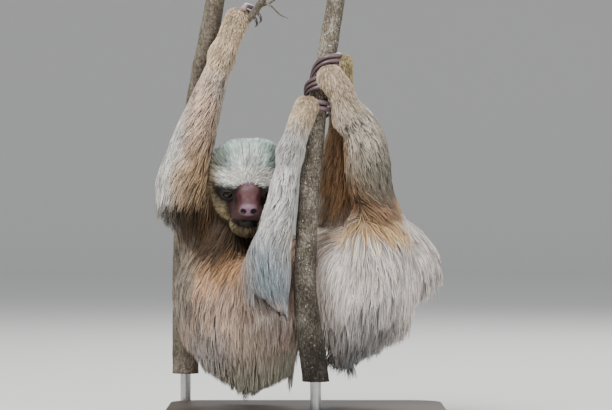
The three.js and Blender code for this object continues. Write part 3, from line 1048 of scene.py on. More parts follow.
@dataclass
class Coat:
    """What grows where: it blends the zones at any place on the skin."""

    zones: list[Zone]
    marks: list[Mark]
    combs: list[Comb]
    head: Flesh
    reach: float = 9.0

    def shares(self, points: Array) -> tuple[Array, list]:
        """Each zone's weight at each point, and the zones' own findings.

        A weight comes from how near the zone's axis's surface lies. The head, the first zone, goes
        by the distance to its own flesh and keeps a sharper edge.

        Args:
            points: (n, 3) places.

        Returns:
            (weights, findings): (n, zones) weights, and what nearest gives for each zone.
        """
        found = [zone.nearest(points) for zone in self.zones]
        gaps = np.stack([f[0] for f in found], axis=1)
        gaps[:, 0] = 1.5 * self.head.distance(points) - 4
        weight = np.exp(-(gaps - gaps.min(1, keepdims=True)) / self.reach)
        weight /= weight.sum(1, keepdims=True)
        own = smooth(0.25, 0.75, weight[:, :1])
        rest = weight[:, 1:] * (1 - own) / np.maximum(1 - weight[:, :1], 1e-6)
        return np.concatenate([own, rest], axis=1), found

    def bare(self, points: Array, margin: float = 0.0) -> Array:
        """How bare the skin is at each point; only the head's own skin is ever bare."""
        return bare_weight(points, margin) * smooth(7, 3, self.head.distance(points))

    def colour(self, points: Array) -> Array:
        """The coat's colour at each point.

        Args:
            points: (n, 3) places.

        Returns:
            (n, 3) colours.
        """
        weight, found = self.shares(points)
        wander = 0.07 * noise(points, 15, 8) + 0.05 * noise(points, 5, 9)
        colour = sum(
            weight[:, i, None] * zone.tone(found[i][1] + wander)
            for i, zone in enumerate(self.zones)
        )
        ragged = points + 7 * np.stack([noise(points, 12, 90 + k) for k in range(3)], axis=1)
        for mark in self.marks:
            w = mark.weight(ragged)[:, None]
            colour = colour * (1 - w) + np.array(mark.colour) * w
        head = weight[:, 0, None]
        local = head_place(points)
        for place, reach, tone, strength in head_marks():
            far = np.linalg.norm((local - np.array(place)) / np.array(reach), axis=1)
            w = head * strength * (1 - smooth(0.55, 1.4, far))[:, None]
            colour = colour * (1 - w) + np.array(tone) * w
        shade = 1 + 0.16 * noise(points, 19, 5) + 0.08 * noise(points, 6, 6)
        return np.clip(colour * shade[:, None], 0, 1)

    def flow(self, points: Array, normals: Array) -> Array:
        """The lie of the hair: each zone's own way, blended and laid flat on the skin.

        Args:
            points: (n, 3) places.
            normals: (n, 3) outward directions.

        Returns:
            (n, 3) directions.
        """
        weight, found = self.shares(points)
        way = np.zeros_like(points)
        for i, zone in enumerate(self.zones):
            if zone.name == "head":
                local = head_place(points)
                low = smooth(10, -14, local[:, 1])
                own = local - np.array([0.0, 14.0, 12.0])
                own[:, 1] += low * 22 - 16 * smooth(-10, -40, local[:, 1])
                own[:, 2] = np.minimum(own[:, 2], 0) * 0.6 - 8
                own = unit(own) @ HEAD_AXES
            else:
                _, _, foot, heading = found[i]
                radial = points - foot
                radial[:, 2] = 0
                own = zone.along * heading + np.array(zone.drift) + zone.splay * unit(radial)
                own = unit(own)
            way += weight[:, i, None] * own
        body = 1 - weight[:, :1]
        for comb in self.combs:
            way += comb.push(points) * body
        swirl = 0.22 * noise(points, 30, 21) + 0.12 * noise(points, 9, 22)
        flat = way - (way * normals).sum(1, keepdims=True) * normals
        side = np.cross(normals, flat)
        return unit(flat + swirl[:, None] * side)

    def blend(self, points: Array, value: Callable[[Zone, Array], Array]) -> Array:
        """A zone's number, blended over the zones.

        Args:
            points: (n, 3) places.
            value: a function of a zone and its share along the axis that gives the number.

        Returns:
            (n,) numbers.
        """
        weight, found = self.shares(points)
        return sum(weight[:, i] * value(zone, found[i][1]) for i, zone in enumerate(self.zones))


# ---- Materials ----
class Nodes:
    """A short way to write a node tree: make a node, set its inputs, link its outputs."""

    def __init__(self, tree: NodeTree) -> None:
        """Work on a tree."""
        self.tree = tree

    def add(self, kind: str, inputs: dict | None = None, **settings: str | NodeTree) -> Node:
        """Add a node.

        Args:
            kind: the node's type, such as "ShaderNodeMath".
            inputs: socket names or numbers to values or to sockets to link from.
            settings: the node's own properties.

        Returns:
            The node.
        """
        node = self.tree.nodes.new(kind)
        for key, value in settings.items():
            setattr(node, key, value)
        for key, value in (inputs or {}).items():
            if isinstance(value, Socket):
                self.tree.links.new(value, node.inputs[key])
            else:
                node.inputs[key].default_value = value
        return node

    def math(self, operation: str, a: Value, b: Value = 0.0) -> Socket:
        """A Math node's result."""
        return self.add("ShaderNodeMath", {0: a, 1: b}, operation=operation).outputs[0]

    def mix(self, share: Value, a: Socket, b: Colour) -> Socket:
        """A colour mixed with a constant one by a share."""
        inputs = {0: share, 6: a, 7: (*b, 1.0)}
        return self.add("ShaderNodeMix", inputs, data_type="RGBA").outputs[2]

    def ramp(self, value: Socket, stops: list[tuple[float, Colour]]) -> Socket:
        """A colour ramp over a value.

        Args:
            value: the value.
            stops: places and colours.

        Returns:
            The colour.
        """
        node = self.add("ShaderNodeValToRGB", {0: value})
        while len(node.color_ramp.elements) < len(stops):
            node.color_ramp.elements.new(0.5)
        for element, (place, colour) in zip(node.color_ramp.elements, stops):
            element.position = place
            element.color = (*colour, 1.0)
        return node.outputs[0]

    def noise(
        self, vector: Socket, scale: Value, detail: float = 3.0, roughness: float = 0.55
    ) -> Socket:
        """Noise over a vector."""
        inputs = {"Vector": vector, "Scale": scale, "Detail": detail, "Roughness": roughness}
        return self.add("ShaderNodeTexNoise", inputs).outputs[0]

    def attribute(self, name: str) -> Node:
        """The mesh's own values by a name."""
        return self.add("ShaderNodeAttribute", attribute_name=name)

    def place(self) -> Socket:
        """The piece's own coordinates."""
        return self.add("ShaderNodeTexCoord").outputs["Object"]

    def stretch(self, vector: Node, across: float, along: float) -> Socket:
        """The first two parts of a split vector, each times a number.

        Args:
            vector: the node that splits it.
            across, along: the numbers.

        Returns:
            The vector.
        """
        x = self.math("MULTIPLY", vector.outputs[0], across)
        y = self.math("MULTIPLY", vector.outputs[1], along)
        return self.add("ShaderNodeCombineXYZ", {0: x, 1: y}).outputs[0]

    def drawn(self, vector: Socket, scale: tuple[float, float, float]) -> Socket:
        """A vector scaled along each axis, so that a pattern over it draws out."""
        return self.add("ShaderNodeMapping", {"Vector": vector, "Scale": scale}).outputs[0]

    def grain(self, vector: Socket, scale: float, amount: float) -> Node:
        """The shared fine grain over a vector."""
        inputs = {"Vector": vector, "Scale": scale, "Amount": amount}
        return self.add("ShaderNodeGroup", inputs, node_tree=grain_group())

    def feed(self, value: Socket, shader: Node, socket: str = "Base Color") -> None:
        """Link a value to one of the shader's sockets."""
        self.tree.links.new(value, shader.inputs[socket])

    def span(
        self, value: Socket, low: float, high: float, first: float = 0.0, last: float = 1.0
    ) -> Socket:
        """A value taken evenly from low to high onto first to last."""
        inputs = {"Value": value, 1: low, 2: high, 3: first, 4: last}
        return self.add("ShaderNodeMapRange", inputs).outputs[0]

    def scale(self, value: Socket, gain: float, lift: Value) -> Socket:
        """A value times a gain plus a lift."""
        return self.math("ADD", self.math("MULTIPLY", value, gain), lift)

    def blend(self, a: Socket, a_share: float, b: Socket, b_share: float) -> Socket:
        """Two values added, each times its share."""
        first = self.math("MULTIPLY", a, a_share)
        return self.math("ADD", first, self.math("MULTIPLY", b, b_share))

    def shade(self, colour: Socket | Colour, strength: Socket) -> Socket:
        """A colour times a strength."""
        inputs = {0: colour, "Scale": strength}
        return self.add("ShaderNodeVectorMath", inputs, operation="SCALE").outputs[0]


def grey(value: float) -> Colour:
    """A grey of a value."""
    return (value, value, value)


def grain_group() -> NodeTree:
    """The shared fine grain: a colour's strength and a bump height that vary over a vector.

    Returns:
        A group with inputs Vector, Scale and Amount, and outputs Shade and Height.
    """
    name = "fine grain"
    if name in bpy.data.node_groups:
        return bpy.data.node_groups[name]
    tree = bpy.data.node_groups.new(name, "ShaderNodeTree")
    for socket, way, kind in (
        ("Vector", "INPUT", "NodeSocketVector"),
        ("Scale", "INPUT", "NodeSocketFloat"),
        ("Amount", "INPUT", "NodeSocketFloat"),
        ("Shade", "OUTPUT", "NodeSocketFloat"),
        ("Height", "OUTPUT", "NodeSocketFloat"),
    ):
        tree.interface.new_socket(socket, in_out=way, socket_type=kind)
    nodes = Nodes(tree)
    given = nodes.add("NodeGroupInput")
    vector, scale, amount = given.outputs[:3]
    wide = nodes.noise(vector, scale, 5.0, 0.5)
    tight = nodes.noise(vector, nodes.math("MULTIPLY", scale, 5.0), 2.0, 0.5)
    height = nodes.blend(wide, 0.7, tight, 0.3)
    swing = nodes.math("MULTIPLY", nodes.math("SUBTRACT", height, 0.5), amount)
    out = nodes.add("NodeGroupOutput")
    tree.links.new(nodes.math("ADD", swing, 1.0), out.inputs[0])
    tree.links.new(height, out.inputs[1])
    return tree


@dataclass(frozen=True)
class Finish:
    """A surface finish: a name and how its material is made."""

    name: str
    roughness: float = 0.5
    specular: float = 0.5

    def start(self) -> tuple[Material, Nodes, Node]:
        """A new material, with constant values set on its shader's own sockets.

        Returns:
            (material, nodes, shader).
        """
        material = bpy.data.materials.new(self.name)
        material.use_nodes = True
        nodes = Nodes(material.node_tree)
        shader = material.node_tree.nodes["Principled BSDF"]
        shader.inputs["Roughness"].default_value = self.roughness
        shader.inputs["Specular IOR Level"].default_value = self.specular
        return material, nodes, shader

    def bump(
        self, nodes: Nodes, shader: Node, height: Socket, strength: float, distance: float
    ) -> None:
        """Feed a height to the shader's normal."""
        inputs = {"Height": height, "Strength": strength, "Distance": distance}
        nodes.feed(nodes.add("ShaderNodeBump", inputs).outputs[0], shader, "Normal")


@dataclass(frozen=True)
class HairFinish(Finish):
    """Locks of hair: the marking's colour, parted into fine strands, with painted shade that
    darkens the root and a little paler at the tip.
    """

    # painted shade: the lock's brightness at its root, deep in the coat
    root_painted_shade: float = 0.5

    def build(self) -> Material:
        """Make the material.

        Returns:
            The material.
        """
        material, nodes, shader = self.start()
        colour = nodes.attribute("marking").outputs["Color"]
        strand = nodes.add("ShaderNodeUVMap", uv_map="strand").outputs[0]
        parts = nodes.add("ShaderNodeSeparateXYZ", {0: strand})
        streak = nodes.scale(nodes.noise(nodes.stretch(parts, 3.0, 1.5), 1.0, 2.0), 0.9, 0.55)
        # painted shade: darker towards the root, deep in the coat; a little paler at the tip
        deep = nodes.span(parts.outputs[1], 0.0, 0.55, self.root_painted_shade, 1.0)
        tip = nodes.span(parts.outputs[1], 0.6, 1.0, 1.0, 1.18)
        shade = nodes.math("MULTIPLY", nodes.math("MULTIPLY", streak, deep), tip)
        nodes.feed(nodes.shade(colour, shade), shader)
        return material


@dataclass(frozen=True)
class HideFinish(Finish):
    """The skin: the marking's colour under the coat, and moist wrinkled skin where it is bare."""

    def build(self) -> Material:
        """Make the material.

        Returns:
            The material.
        """
        material, nodes, shader = self.start()
        colour = nodes.attribute("marking").outputs["Color"]
        bare = nodes.attribute("bare").outputs["Fac"]
        place = nodes.place()
        grain = nodes.grain(place, 260.0, 0.5)
        shaded = nodes.shade(colour, grain.outputs["Shade"])
        nodes.feed(shaded, shader)
        rough = nodes.span(bare, 0.0, 1.0, 0.85, 0.5)
        nodes.feed(rough, shader, "Roughness")
        cells = {"Vector": place, "Scale": 620.0}
        creases = nodes.add("ShaderNodeTexVoronoi", cells, feature="SMOOTH_F1").outputs[0]
        height = nodes.scale(creases, 0.6, grain.outputs["Height"])
        self.bump(nodes, shader, height, 0.35, 0.0008)
        return material


@dataclass(frozen=True)
class EyeFinish(Finish):
    """A dark brown eye: pupil, iris and rim by the angle from the gaze."""

    def build(self) -> Material:
        """Make the material.

        Returns:
            The material.
        """
        material, nodes, shader = self.start()
        gaze = nodes.attribute("gaze").outputs["Fac"]
        fleck = nodes.noise(nodes.place(), 900.0, 4.0)
        black = grey(0.002)
        stops = [(0.0, black), (0.22, black), (0.28, (0.014, 0.006, 0.003)),
                 (0.5, (0.008, 0.004, 0.003)), (0.60, black), (0.80, (0.03, 0.018, 0.015))]
        colour = nodes.ramp(gaze, stops)
        shaded = nodes.shade(colour, nodes.scale(fleck, 0.8, 0.6))
        nodes.feed(shaded, shader)
        shader.inputs["Coat Weight"].default_value = 0.35
        shader.inputs["Coat Roughness"].default_value = 0.03
        return material


@dataclass(frozen=True)
class HornFinish(Finish):
    """Claws: pinkish at the root, dark purplish brown along the middle and paler at the point."""

    def build(self) -> Material:
        """Make the material.

        Returns:
            The material.
        """
        material, nodes, shader = self.start()
        uv = nodes.add("ShaderNodeUVMap", uv_map="length").outputs[0]
        parts = nodes.add("ShaderNodeSeparateXYZ", {0: uv})
        stops = [(0.0, (0.36, 0.24, 0.22)), (0.14, (0.22, 0.15, 0.16)), (0.45, (0.10, 0.065, 0.07)),
                 (0.85, (0.055, 0.035, 0.035)), (1.0, (0.12, 0.08, 0.06))]
        colour = nodes.ramp(parts.outputs[1], stops)
        groove = nodes.noise(nodes.stretch(parts, 24.0, 3.0), 1.0, 3.0)
        shaded = nodes.shade(colour, nodes.scale(groove, 0.9, 0.55))
        nodes.feed(shaded, shader)
        self.bump(nodes, shader, groove, 0.25, 0.0006)
        return material


@dataclass(frozen=True)
class BarkFinish(Finish):
    """Bark: grey-brown, rough and finely speckled, with pale lichen dots, and painted shade that
    darkens it towards the floor.
    """

    dark: Colour = (0.045, 0.036, 0.027)
    middle: Colour = (0.15, 0.125, 0.095)
    light: Colour = (0.42, 0.38, 0.32)
    speck: Colour = (0.72, 0.70, 0.64)
    specks: float = 0.66
    # painted shade: the bark's brightness at the floor; gain is its brightness from 0.36 m up
    foot: float = 0.14
    gain: float = 1.0

    def build(self) -> Material:
        """Make the material.

        Returns:
            The material.
        """
        material, nodes, shader = self.start()
        place = nodes.place()
        drawn = nodes.drawn(place, (1.0, 1.0, 0.55))
        broad = nodes.noise(drawn, 45.0, 4.0, 0.6)
        fine = nodes.noise(drawn, 420.0, 5.0, 0.75)
        mixed = nodes.blend(broad, 0.35, fine, 0.65)
        body = nodes.ramp(mixed, [(0.38, self.dark), (0.5, self.middle), (0.62, self.light)])
        dots = nodes.noise(place, 300.0, 2.0, 0.5)
        spot = nodes.span(dots, self.specks, self.specks + 0.04)
        spotted = nodes.mix(spot, body, self.speck)
        height = nodes.add("ShaderNodeSeparateXYZ", {0: place}).outputs[2]
        # painted shade: the bark darkens from gain at 0.36 m to foot at 0.05 m
        lit = nodes.span(height, 0.05, 0.36, self.foot, self.gain)
        nodes.feed(nodes.shade(spotted, lit), shader)
        self.bump(nodes, shader, nodes.blend(fine, 0.7, spot, 0.4), 0.9, 0.002)
        return material


@dataclass(frozen=True)
class BoardFinish(Finish):
    """A dark stained board with a fine grain along its width."""

    def build(self) -> Material:
        """Make the material.

        Returns:
            The material.
        """
        material, nodes, shader = self.start()
        grain = nodes.grain(nodes.drawn(nodes.place(), (0.06, 1.0, 1.0)), 70.0, 1.6)
        stained = nodes.shade((0.055, 0.036, 0.024), grain.outputs["Shade"])
        nodes.feed(stained, shader)
        self.bump(nodes, shader, grain.outputs["Height"], 0.15, 0.0005)
        return material


@dataclass(frozen=True)
class SteelFinish(Finish):
    """Brushed steel, with faint rings round the rod."""

    def build(self) -> Material:
        """Make the material.

        Returns:
            The material.
        """
        material, nodes, shader = self.start()
        shader.inputs["Metallic"].default_value = 1.0
        rings = nodes.drawn(nodes.place(), (0.05, 0.05, 1.0))
        fine = nodes.noise(rings, 1600.0, 3.0)
        sheen = nodes.ramp(fine, [(0.3, grey(0.42)), (0.7, grey(0.6))])
        nodes.feed(sheen, shader)
        self.bump(nodes, shader, fine, 0.1, 0.0003)
        return material


def dress(piece: Object, material: Material) -> None:
    """Give a piece its material and its body, and report it.

    Args:
        piece: the piece.
        material: its material.
    """
    piece.data.materials.clear()
    piece.data.materials.append(material)
    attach(piece, "root")
    log.info("%s: %d faces", piece.name, len(piece.data.polygons))


# ---- Skin ----
def lump(place: tuple, radii: tuple, blend: float, make: Make = Make.ADD) -> Egg:
    """An ellipsoid in the head's frame at a place (aside, up, ahead)."""
    return Egg(in_head(*place), radii, blend, make, HEAD_AXES)


def chain(
    stations: list[tuple], blend: float, make: Make = Make.ADD, spans: int = Bone.spans
) -> Bone:
    """A chain in the head's frame through stations (aside, up, ahead, radius)."""
    return Bone(tuple((in_head(*s[:3]), s[3]) for s in stations), blend, make, spans)


@dataclass
class Skin:
    """The one skin that stands for all the flesh: its forms, and its mesh's fineness, in mm.

    The mesh is coarse, and fine inside the box of the bare face. In each pass its points settle on
    the forms, by the share settle of their distance.
    """

    coarse: float = 5.2
    fine: float = 1.06
    face_box: tuple = ((-124.0, -42.0), (-113.0, -45.0), (280.0, 356.0))
    lowest: float = 44.0
    passes: int = 2
    settle: float = 0.8
    flesh: Flesh = field(init=False)
    head: Flesh = field(init=False)

    def __post_init__(self) -> None:
        """Gather the forms of the whole body, and of the head alone."""
        self.flesh = Flesh((*self.trunk(), *self.skull(), *self.limbs(), *self.face()))
        forms = (*self.skull(), *self.face())
        self.head = Flesh(tuple(form for form in forms if form.make is Make.ADD))

    def trunk(self) -> list:
        """Chest, belly, rump and neck."""
        return [
            Egg(at(-102, 96, 182), (76, 71, 98), 6),
            Egg(at(-77, 97, 126), (64, 52, 70), 26),
            Egg(at(-138, 96, 192), (52, 56, 52), 26),
            Egg(at(92, 108, 210), (71, 67, 78), 6),
            Egg(at(130, 108, 240), (62, 50, 34), 26),
            Egg(at(118, 106, 250), (51, 49, 45), 16),
            Bone(((at(106, 30, 306), 21), (at(130, 80, 280), 20), (at(148, 106, 254), 22)), 16),
            Egg(at(66, 106, 186), (52, 54, 76), 20),
            Egg(at(50, 90, 230), (44, 48, 50), 16),
            Bone(((at(-60, 104, 204), 64), (at(10, 108, 206), 66), (at(80, 108, 210), 64)), 34),
            Bone(((at(-87, 92, 334), 35), (at(-100, 99, 288), 41), (at(-111, 98, 236), 51)), 26),
        ]

    def skull(self) -> list:
        """The head under its coat: crown, cheeks, brow and jaw."""
        return [
            lump((0, 10, -50), (52.5, 52, 49), 22),
            *(lump((side * 17, 23, -50), (36, 39, 39), 14) for side in (-1, 1)),
            lump((0, -19, -31), (48, 33, 39), 14),
            lump((0, 14, -27), (42, 35, 32), 12),
            *(lump((side * 53, 3, -58), (7, 10, 8), 8) for side in (-1, 1)),
        ]

    def limbs(self) -> list:
        """Arms, legs, hands and feet."""
        stations = [
            ((joint("elbow_left", 4, 4, -10), 28),
             (between("elbow_left", "shoulder_left"), 33), (joint("shoulder_left"), 40)),
            ((joint("wrist_left"), 14), (between("wrist_left", "elbow_left", 0.3), 18),
             (between("wrist_left", "elbow_left", 0.62), 25), (joint("elbow_left"), 29),
             (joint("elbow_left", -17, 6, -30), 19), (joint("elbow_left", -21, 8, -46), 8)),
            ((joint("wrist_left"), 14), (at(-110, 41, 568), 16), (at(-101, 38, 589), 17)),
            ((joint("elbow_right", -4, 8, -8), 26),
             (between("elbow_right", "shoulder_right"), 32), (joint("shoulder_right"), 38)),
            ((joint("wrist_right"), 14), (between("wrist_right", "elbow_right", 0.3), 16.5),
             (between("wrist_right", "elbow_right", 0.65), 20),
             (joint("elbow_right", -2, 0, 6), 26), (joint("elbow_right", 5, -2, -34), 18),
             (joint("elbow_right", 14, -1, -60), 7)),
            ((joint("wrist_right"), 14), (at(-9, -27, 434), 16), (at(1, -27, 459), 16)),
            ((joint("knee_left", 2, 4, -8), 30), (between("knee_left", "hip_left"), 41),
             (joint("hip_left"), 48)),
            ((joint("ankle_left"), 17), (between("ankle_left", "knee_left", 0.35), 24),
             (between("ankle_left", "knee_left", 0.7), 30), (joint("knee_left"), 32)),
            ((joint("ankle_left"), 16), (at(53, 14, 494), 14), (at(52, 3, 522), 15)),
            ((joint("knee_right", -2, 4, -5), 24), (between("knee_right", "hip_right"), 42),
             (joint("hip_right"), 48)),
            ((joint("ankle_right", 2, 0, 0), 19), (at(77, -9, 434), 23.5),
             (at(86, -4, 402), 28.5), (at(90, 0, 364), 28.5), (at(98, 7, 334), 24)),
            ((joint("ankle_right", 1, -2, 6), 18), (at(49, -27, 482), 18), (at(35, -32, 501), 18)),
        ]
        hollow = Egg(at(72, -40, 306), (27, 26, 20), 14, Make.CARVE)
        return [*(Bone(s, 16) for s in stations), hollow]

    def face(self) -> list:
        """Snout, nose, lips, nostrils, eyelids and the mouth's line."""
        forms = [
            chain([(0, -6, -10, 22), (0, -11, 12, 19.5), (0, -14.5, 26, 17.5)], 10),
            chain([(0, -38, -14, 20), (0, -41, 8, 16), (0, -38, 23, 11.5)], 8),
            lump((0, -46, 0), (26, 14, 27), 10),
            lump((0, -12.5, 38), (12.5, 9.3, 9.5), 4),
        ]
        for side in (-1, 1):
            eye = side * EYE_SIDE
            forms += [
                lump((side * 11.5, -22.5, 27), (14.5, 10.5, 14), 6),
                chain([(side * 15, 9, -2, 5), (eye, 11, -3, 6), (side * 41, 7, -11, 5)], 10),
                lump((eye, 0, -1.2), (12.2, 11.2, 11), 5),
                lump((eye + side * 0.5, 0.2, 10), (7.2, 3.9, 7), 2.4, Make.CARVE),
                lump((eye, 0, 0), (8.9, 8.9, 8.9), 0.8, Make.CARVE),
                lump((side * 7.4, -14, 46.5), (4.4, 3.9, 6), 1.6, Make.CARVE),
                chain([(side * 9, -15.5, 45, 1.6), (side * 12.5, -16, 41.5, 1.3),
                       (side * 14, -12.5, 38, 0.8)], 1.5, Make.CARVE),
            ]
        corner = [(25, -25, 6), (21, -29, 20), (11, -30.5, 31)]
        lip = [(-x, y, z, 1.6) for x, y, z in corner] + [(0, -29.5, 36, 1.6)]
        lip += [(x, y, z, 1.6) for x, y, z in reversed(corner)]
        forms.append(chain(lip, 2.6, Make.CARVE, 12))
        crease = [(0, -19, 47, 0.9), (0, -24.5, 43, 0.9), (0, -29.5, 39, 0.9)]
        forms.append(chain(crease, 1.6, Make.CARVE))
        return forms

    def build(self, coat: Coat, material: Material) -> Object:
        """Mesh the skin, paint it with the coat's markings and hide the solids under it.

        Args:
            coat: the coat, for its colours.
            material: the skin's material.

        Returns:
            The skin.
        """
        low, high = np.array(CAD_BOX[0]) / MM, np.array(CAD_BOX[1]) / MM
        spans = ((low[0] + 4, high[0]), (low[1] - 4, high[1]), (self.lowest, high[2] - 20))
        axes = tuple(
            graded(*span, self.coarse, *face, self.fine) for span, face in zip(spans, self.face_box)
        )
        values = self.flesh.on_grid(axes)
        points, quads = surface_net(values, axes)
        for _ in range(self.passes):
            gap = self.flesh.distance(points)[:, None]
            points -= gap * self.flesh.normal(points) * self.settle
        piece = write_mesh("skin", points, [quads])
        paint(piece, "marking", self.markings(points, coat))
        paint(piece, "bare", coat.bare(points, -1.0))
        flesh = ("coat", "muzzle", "nose", "ear")
        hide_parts(*[node for node in frame["nodes"] if slot_of(node) in flesh])
        dress(piece, material)
        return piece

    def markings(self, points: Array, coat: Coat) -> Array:
        """The skin's colours: the coat's own, halved under it as painted shade among the locks, and
        the bare face's.

        Args:
            points: (n, 3) places.
            coat: the coat.

        Returns:
            (n, 3) colours.
        """
        p = PALETTE
        side, up, front = head_place(points).T
        side = np.abs(side)
        face = np.array(p.snout) * np.ones((len(points), 1))
        for weight, tone in (
            (smooth(-20, 2, up) * smooth(19, 8, side), p.bridge),
            (0.6 * smooth(7, 17, up) * smooth(12, 4, side), p.nose),
            (0.85 * smooth(14, 18, side + 0.15 * up) * smooth(-12, -4, up), p.mask),
            (smooth(6, 2, np.hypot(side - 14, up)), p.corner),
            (smooth(13, 8, np.hypot(side * 0.8, (up + 12) * 1.2)) * smooth(32, 40, front), p.nose),
            (smooth(-27, -31, up) * smooth(-2, 8, front), p.lip),
            (smooth(15, 11, np.hypot(side - EYE_SIDE, up)) * smooth(16, 21, side), p.mask),
            # painted shade: a dark band along the brow hair's edge above the inner eye
            (smooth(12, 17, up) * smooth(12, 6, np.abs(side - 20)), p.mask),
            # painted shade inside the nostrils
            (smooth(5.2, 3.6, np.hypot(side - 7.4, up + 14)) * smooth(38, 41, front), p.lip),
        ):
            face = face * (1 - weight[:, None]) + np.array(tone) * weight[:, None]
        face *= (1 + 0.2 * noise(points, 5, 40) + 0.15 * noise(points, 2, 41))[:, None]
        wide = coat.bare(points, 5.0)[:, None]
        # under the coat the skin takes half the coat's colour: painted shade among the locks
        return coat.colour(points) * 0.5 * (1 - wide) + face * wide


def slot_of(node: str) -> str:
    """The record's material slot of a CAD node."""
    parts = frame["record"]["subparts"]
    return next(part["material_slot"] for part in parts if part["node"] == node)


# ---- Coat ----
@dataclass
class Barber:
    """Grows the coat: places roots on the skin, traces each lock and meshes the locks by zone.

    Lengths are in mm. A root is hidden when flesh lies nearer than shelter to the place that stands
    reach over it; half of the hidden ones are left out.
    """

    skin: Skin
    coat: Coat
    soft: float = 0.55  # how far a lock's normals lean towards the body's own
    area: float = 0.9  # square mm of skin for each candidate root
    margin: float = 2.0
    reach: float = 30.0
    shelter: float = 12.0
    root_depth: float = 0.8
    stub: float = 14.0  # the shortest that a hem leaves a lock
    flat: float = 0.6
    patch: float = 0.003  # a lock's width and height on the bake map
    strands: float = 200.0  # the width of the grain that the locks take their own from
    rng: np.random.Generator = field(default_factory=lambda: np.random.default_rng(SEED))

    def roots(self, piece: Object) -> tuple[Array, Array]:
        """Scatter candidate roots evenly over the skin.

        Args:
            piece: the skin.

        Returns:
            (points, zone numbers): the roots kept, and the zone that each grows in.
        """
        mesh = piece.data
        co = np.empty(len(mesh.vertices) * 3, np.float32)
        mesh.vertices.foreach_get("co", co)
        co = co.reshape(-1, 3) / MM
        quads = np.empty(len(mesh.loops), np.int32)
        mesh.loops.foreach_get("vertex_index", quads)
        quads = quads.reshape(-1, 4)
        tris = np.concatenate([quads[:, [0, 1, 2]], quads[:, [0, 2, 3]]])
        a, b, c = (co[tris[:, k]] for k in range(3))
        area = 0.5 * np.linalg.norm(np.cross(b - a, c - a), axis=1)
        count = int(area.sum() / self.area)
        pick = np.searchsorted(np.cumsum(area), self.rng.random(count) * area.sum())
        pick = np.minimum(pick, len(tris) - 1)
        r, s = self.rng.random((2, count))
        r = np.sqrt(r)
        u, v, w = (part[:, None] for part in (1 - r, r * (1 - s), r * s))
        points = u * a[pick] + v * b[pick] + w * c[pick]
        weight, _ = self.coat.shares(points)
        zone = weight.argmax(1)
        keep = []
        for i, z in enumerate(self.coat.zones):
            mine = np.flatnonzero(zone == i)
            cell = np.floor(points[mine] / z.spacing).astype(np.int64)
            _, first = np.unique(cell, axis=0, return_index=True)
            keep.append(mine[first])
        keep = np.concatenate(keep)
        points, zone = points[keep], zone[keep]
        normals = self.skin.flesh.normal(points)
        hidden = self.skin.flesh.distance(points + self.reach * normals) < self.shelter
        thin = 0.35 + 0.6 * self.rng.random(len(points))
        spare = hidden & (self.rng.random(len(points)) < 0.5)
        grows = (self.coat.bare(points, self.margin) < thin) & ~spare
        return points[grows], zone[grows]

    def trace(self, roots: Array, zone: Zone) -> tuple[Array, Array]:
        """Trace a zone's locks from their roots.

        A lock leaves the skin at the zone's lift, follows the lie of the hair and bends down by its
        own weight. It is pushed out where it would enter the body, and its tip gathers towards its
        neighbours' mean path.

        Args:
            roots: (n, 3) places on the skin.
            zone: the zone that they grow in.

        Returns:
            (paths, outs): (n, steps + 1, 3) places and the body's outward directions beside them.
        """
        flesh = self.skin.flesh
        count = len(roots)
        normals = flesh.normal(roots)
        length = self.coat.blend(
            roots, lambda z, share: z.length[0] + (z.length[1] - z.length[0]) * share
        )
        if zone.name == "head":
            length = self.head_length(roots)
        length = length * (0.78 + 0.44 * self.rng.random(count)) * (1 + 0.2 * noise(roots, 14, 60))
        height, centre, slope = zone.hem
        if height:
            lowest = height + slope * np.abs(roots[:, 0] - centre) + 9 * noise(roots, 9, 61)
            length = np.minimum(length, np.maximum(1.1 * (roots[:, 2] - lowest), self.stub))
        lift = np.radians(zone.lift * (0.6 + 0.8 * self.rng.random(count)))[:, None]
        flow = self.coat.flow(roots, normals)
        way = unit(flow * np.cos(lift) + normals * np.sin(lift))
        depth = self.coat.blend(roots, lambda z, share: z.depth + 0 * share)
        depth = depth * (0.35 + 0.65 * self.rng.random(count))
        step = (length / zone.steps)[:, None]
        path = [roots - normals * self.root_depth]
        outs = [normals]
        here = roots.copy()
        gravity = np.array([0.0, 0.0, -1.0])
        for s in range(1, zone.steps + 1):
            share = s / zone.steps
            here = here + way * step
            gap = flesh.distance(here)
            out = flesh.normal(here)
            least = depth * share**0.8
            free = smooth(0.1, 0.6, -out[:, 2])
            push = np.clip(least * 0.55 - gap, 0, None)
            pull = np.clip(gap - least, 0, 6) * 0.5 * (gap < depth + 12) * (1 - free)
            here = here + out * (push - pull)[:, None]
            path.append(here)
            outs.append(out)
            lie = self.coat.flow(here, out)
            near = smooth(16, 4, gap)[:, None] * (1 - 0.7 * free[:, None])
            fall = zone.droop * share
            ahead = unit(here - path[-2])
            way = unit(ahead * 0.9 + lie * 0.5 * near * (1 - fall) + gravity * fall)
        paths = np.stack(path, axis=1)
        paths = self.ripple(self.clump(paths, roots, zone), normals, roots, zone)
        return paths, np.stack(outs, axis=1)

    def head_length(self, roots: Array) -> Array:
        """Hair lengths on the head: short round the face, longer over the crown and the nape.

        Args:
            roots: (n, 3) roots.

        Returns:
            (n,) lengths.
        """
        local = head_place(roots)
        far = np.linalg.norm(local - np.array([0.0, -8.0, 10.0]), axis=1)
        lid = smooth(21, 12, np.hypot(np.abs(local[:, 0]) - EYE_SIDE, local[:, 1]))
        return (6.5 + 19 * smooth(36, 92, far)) * (1 - 0.5 * lid)

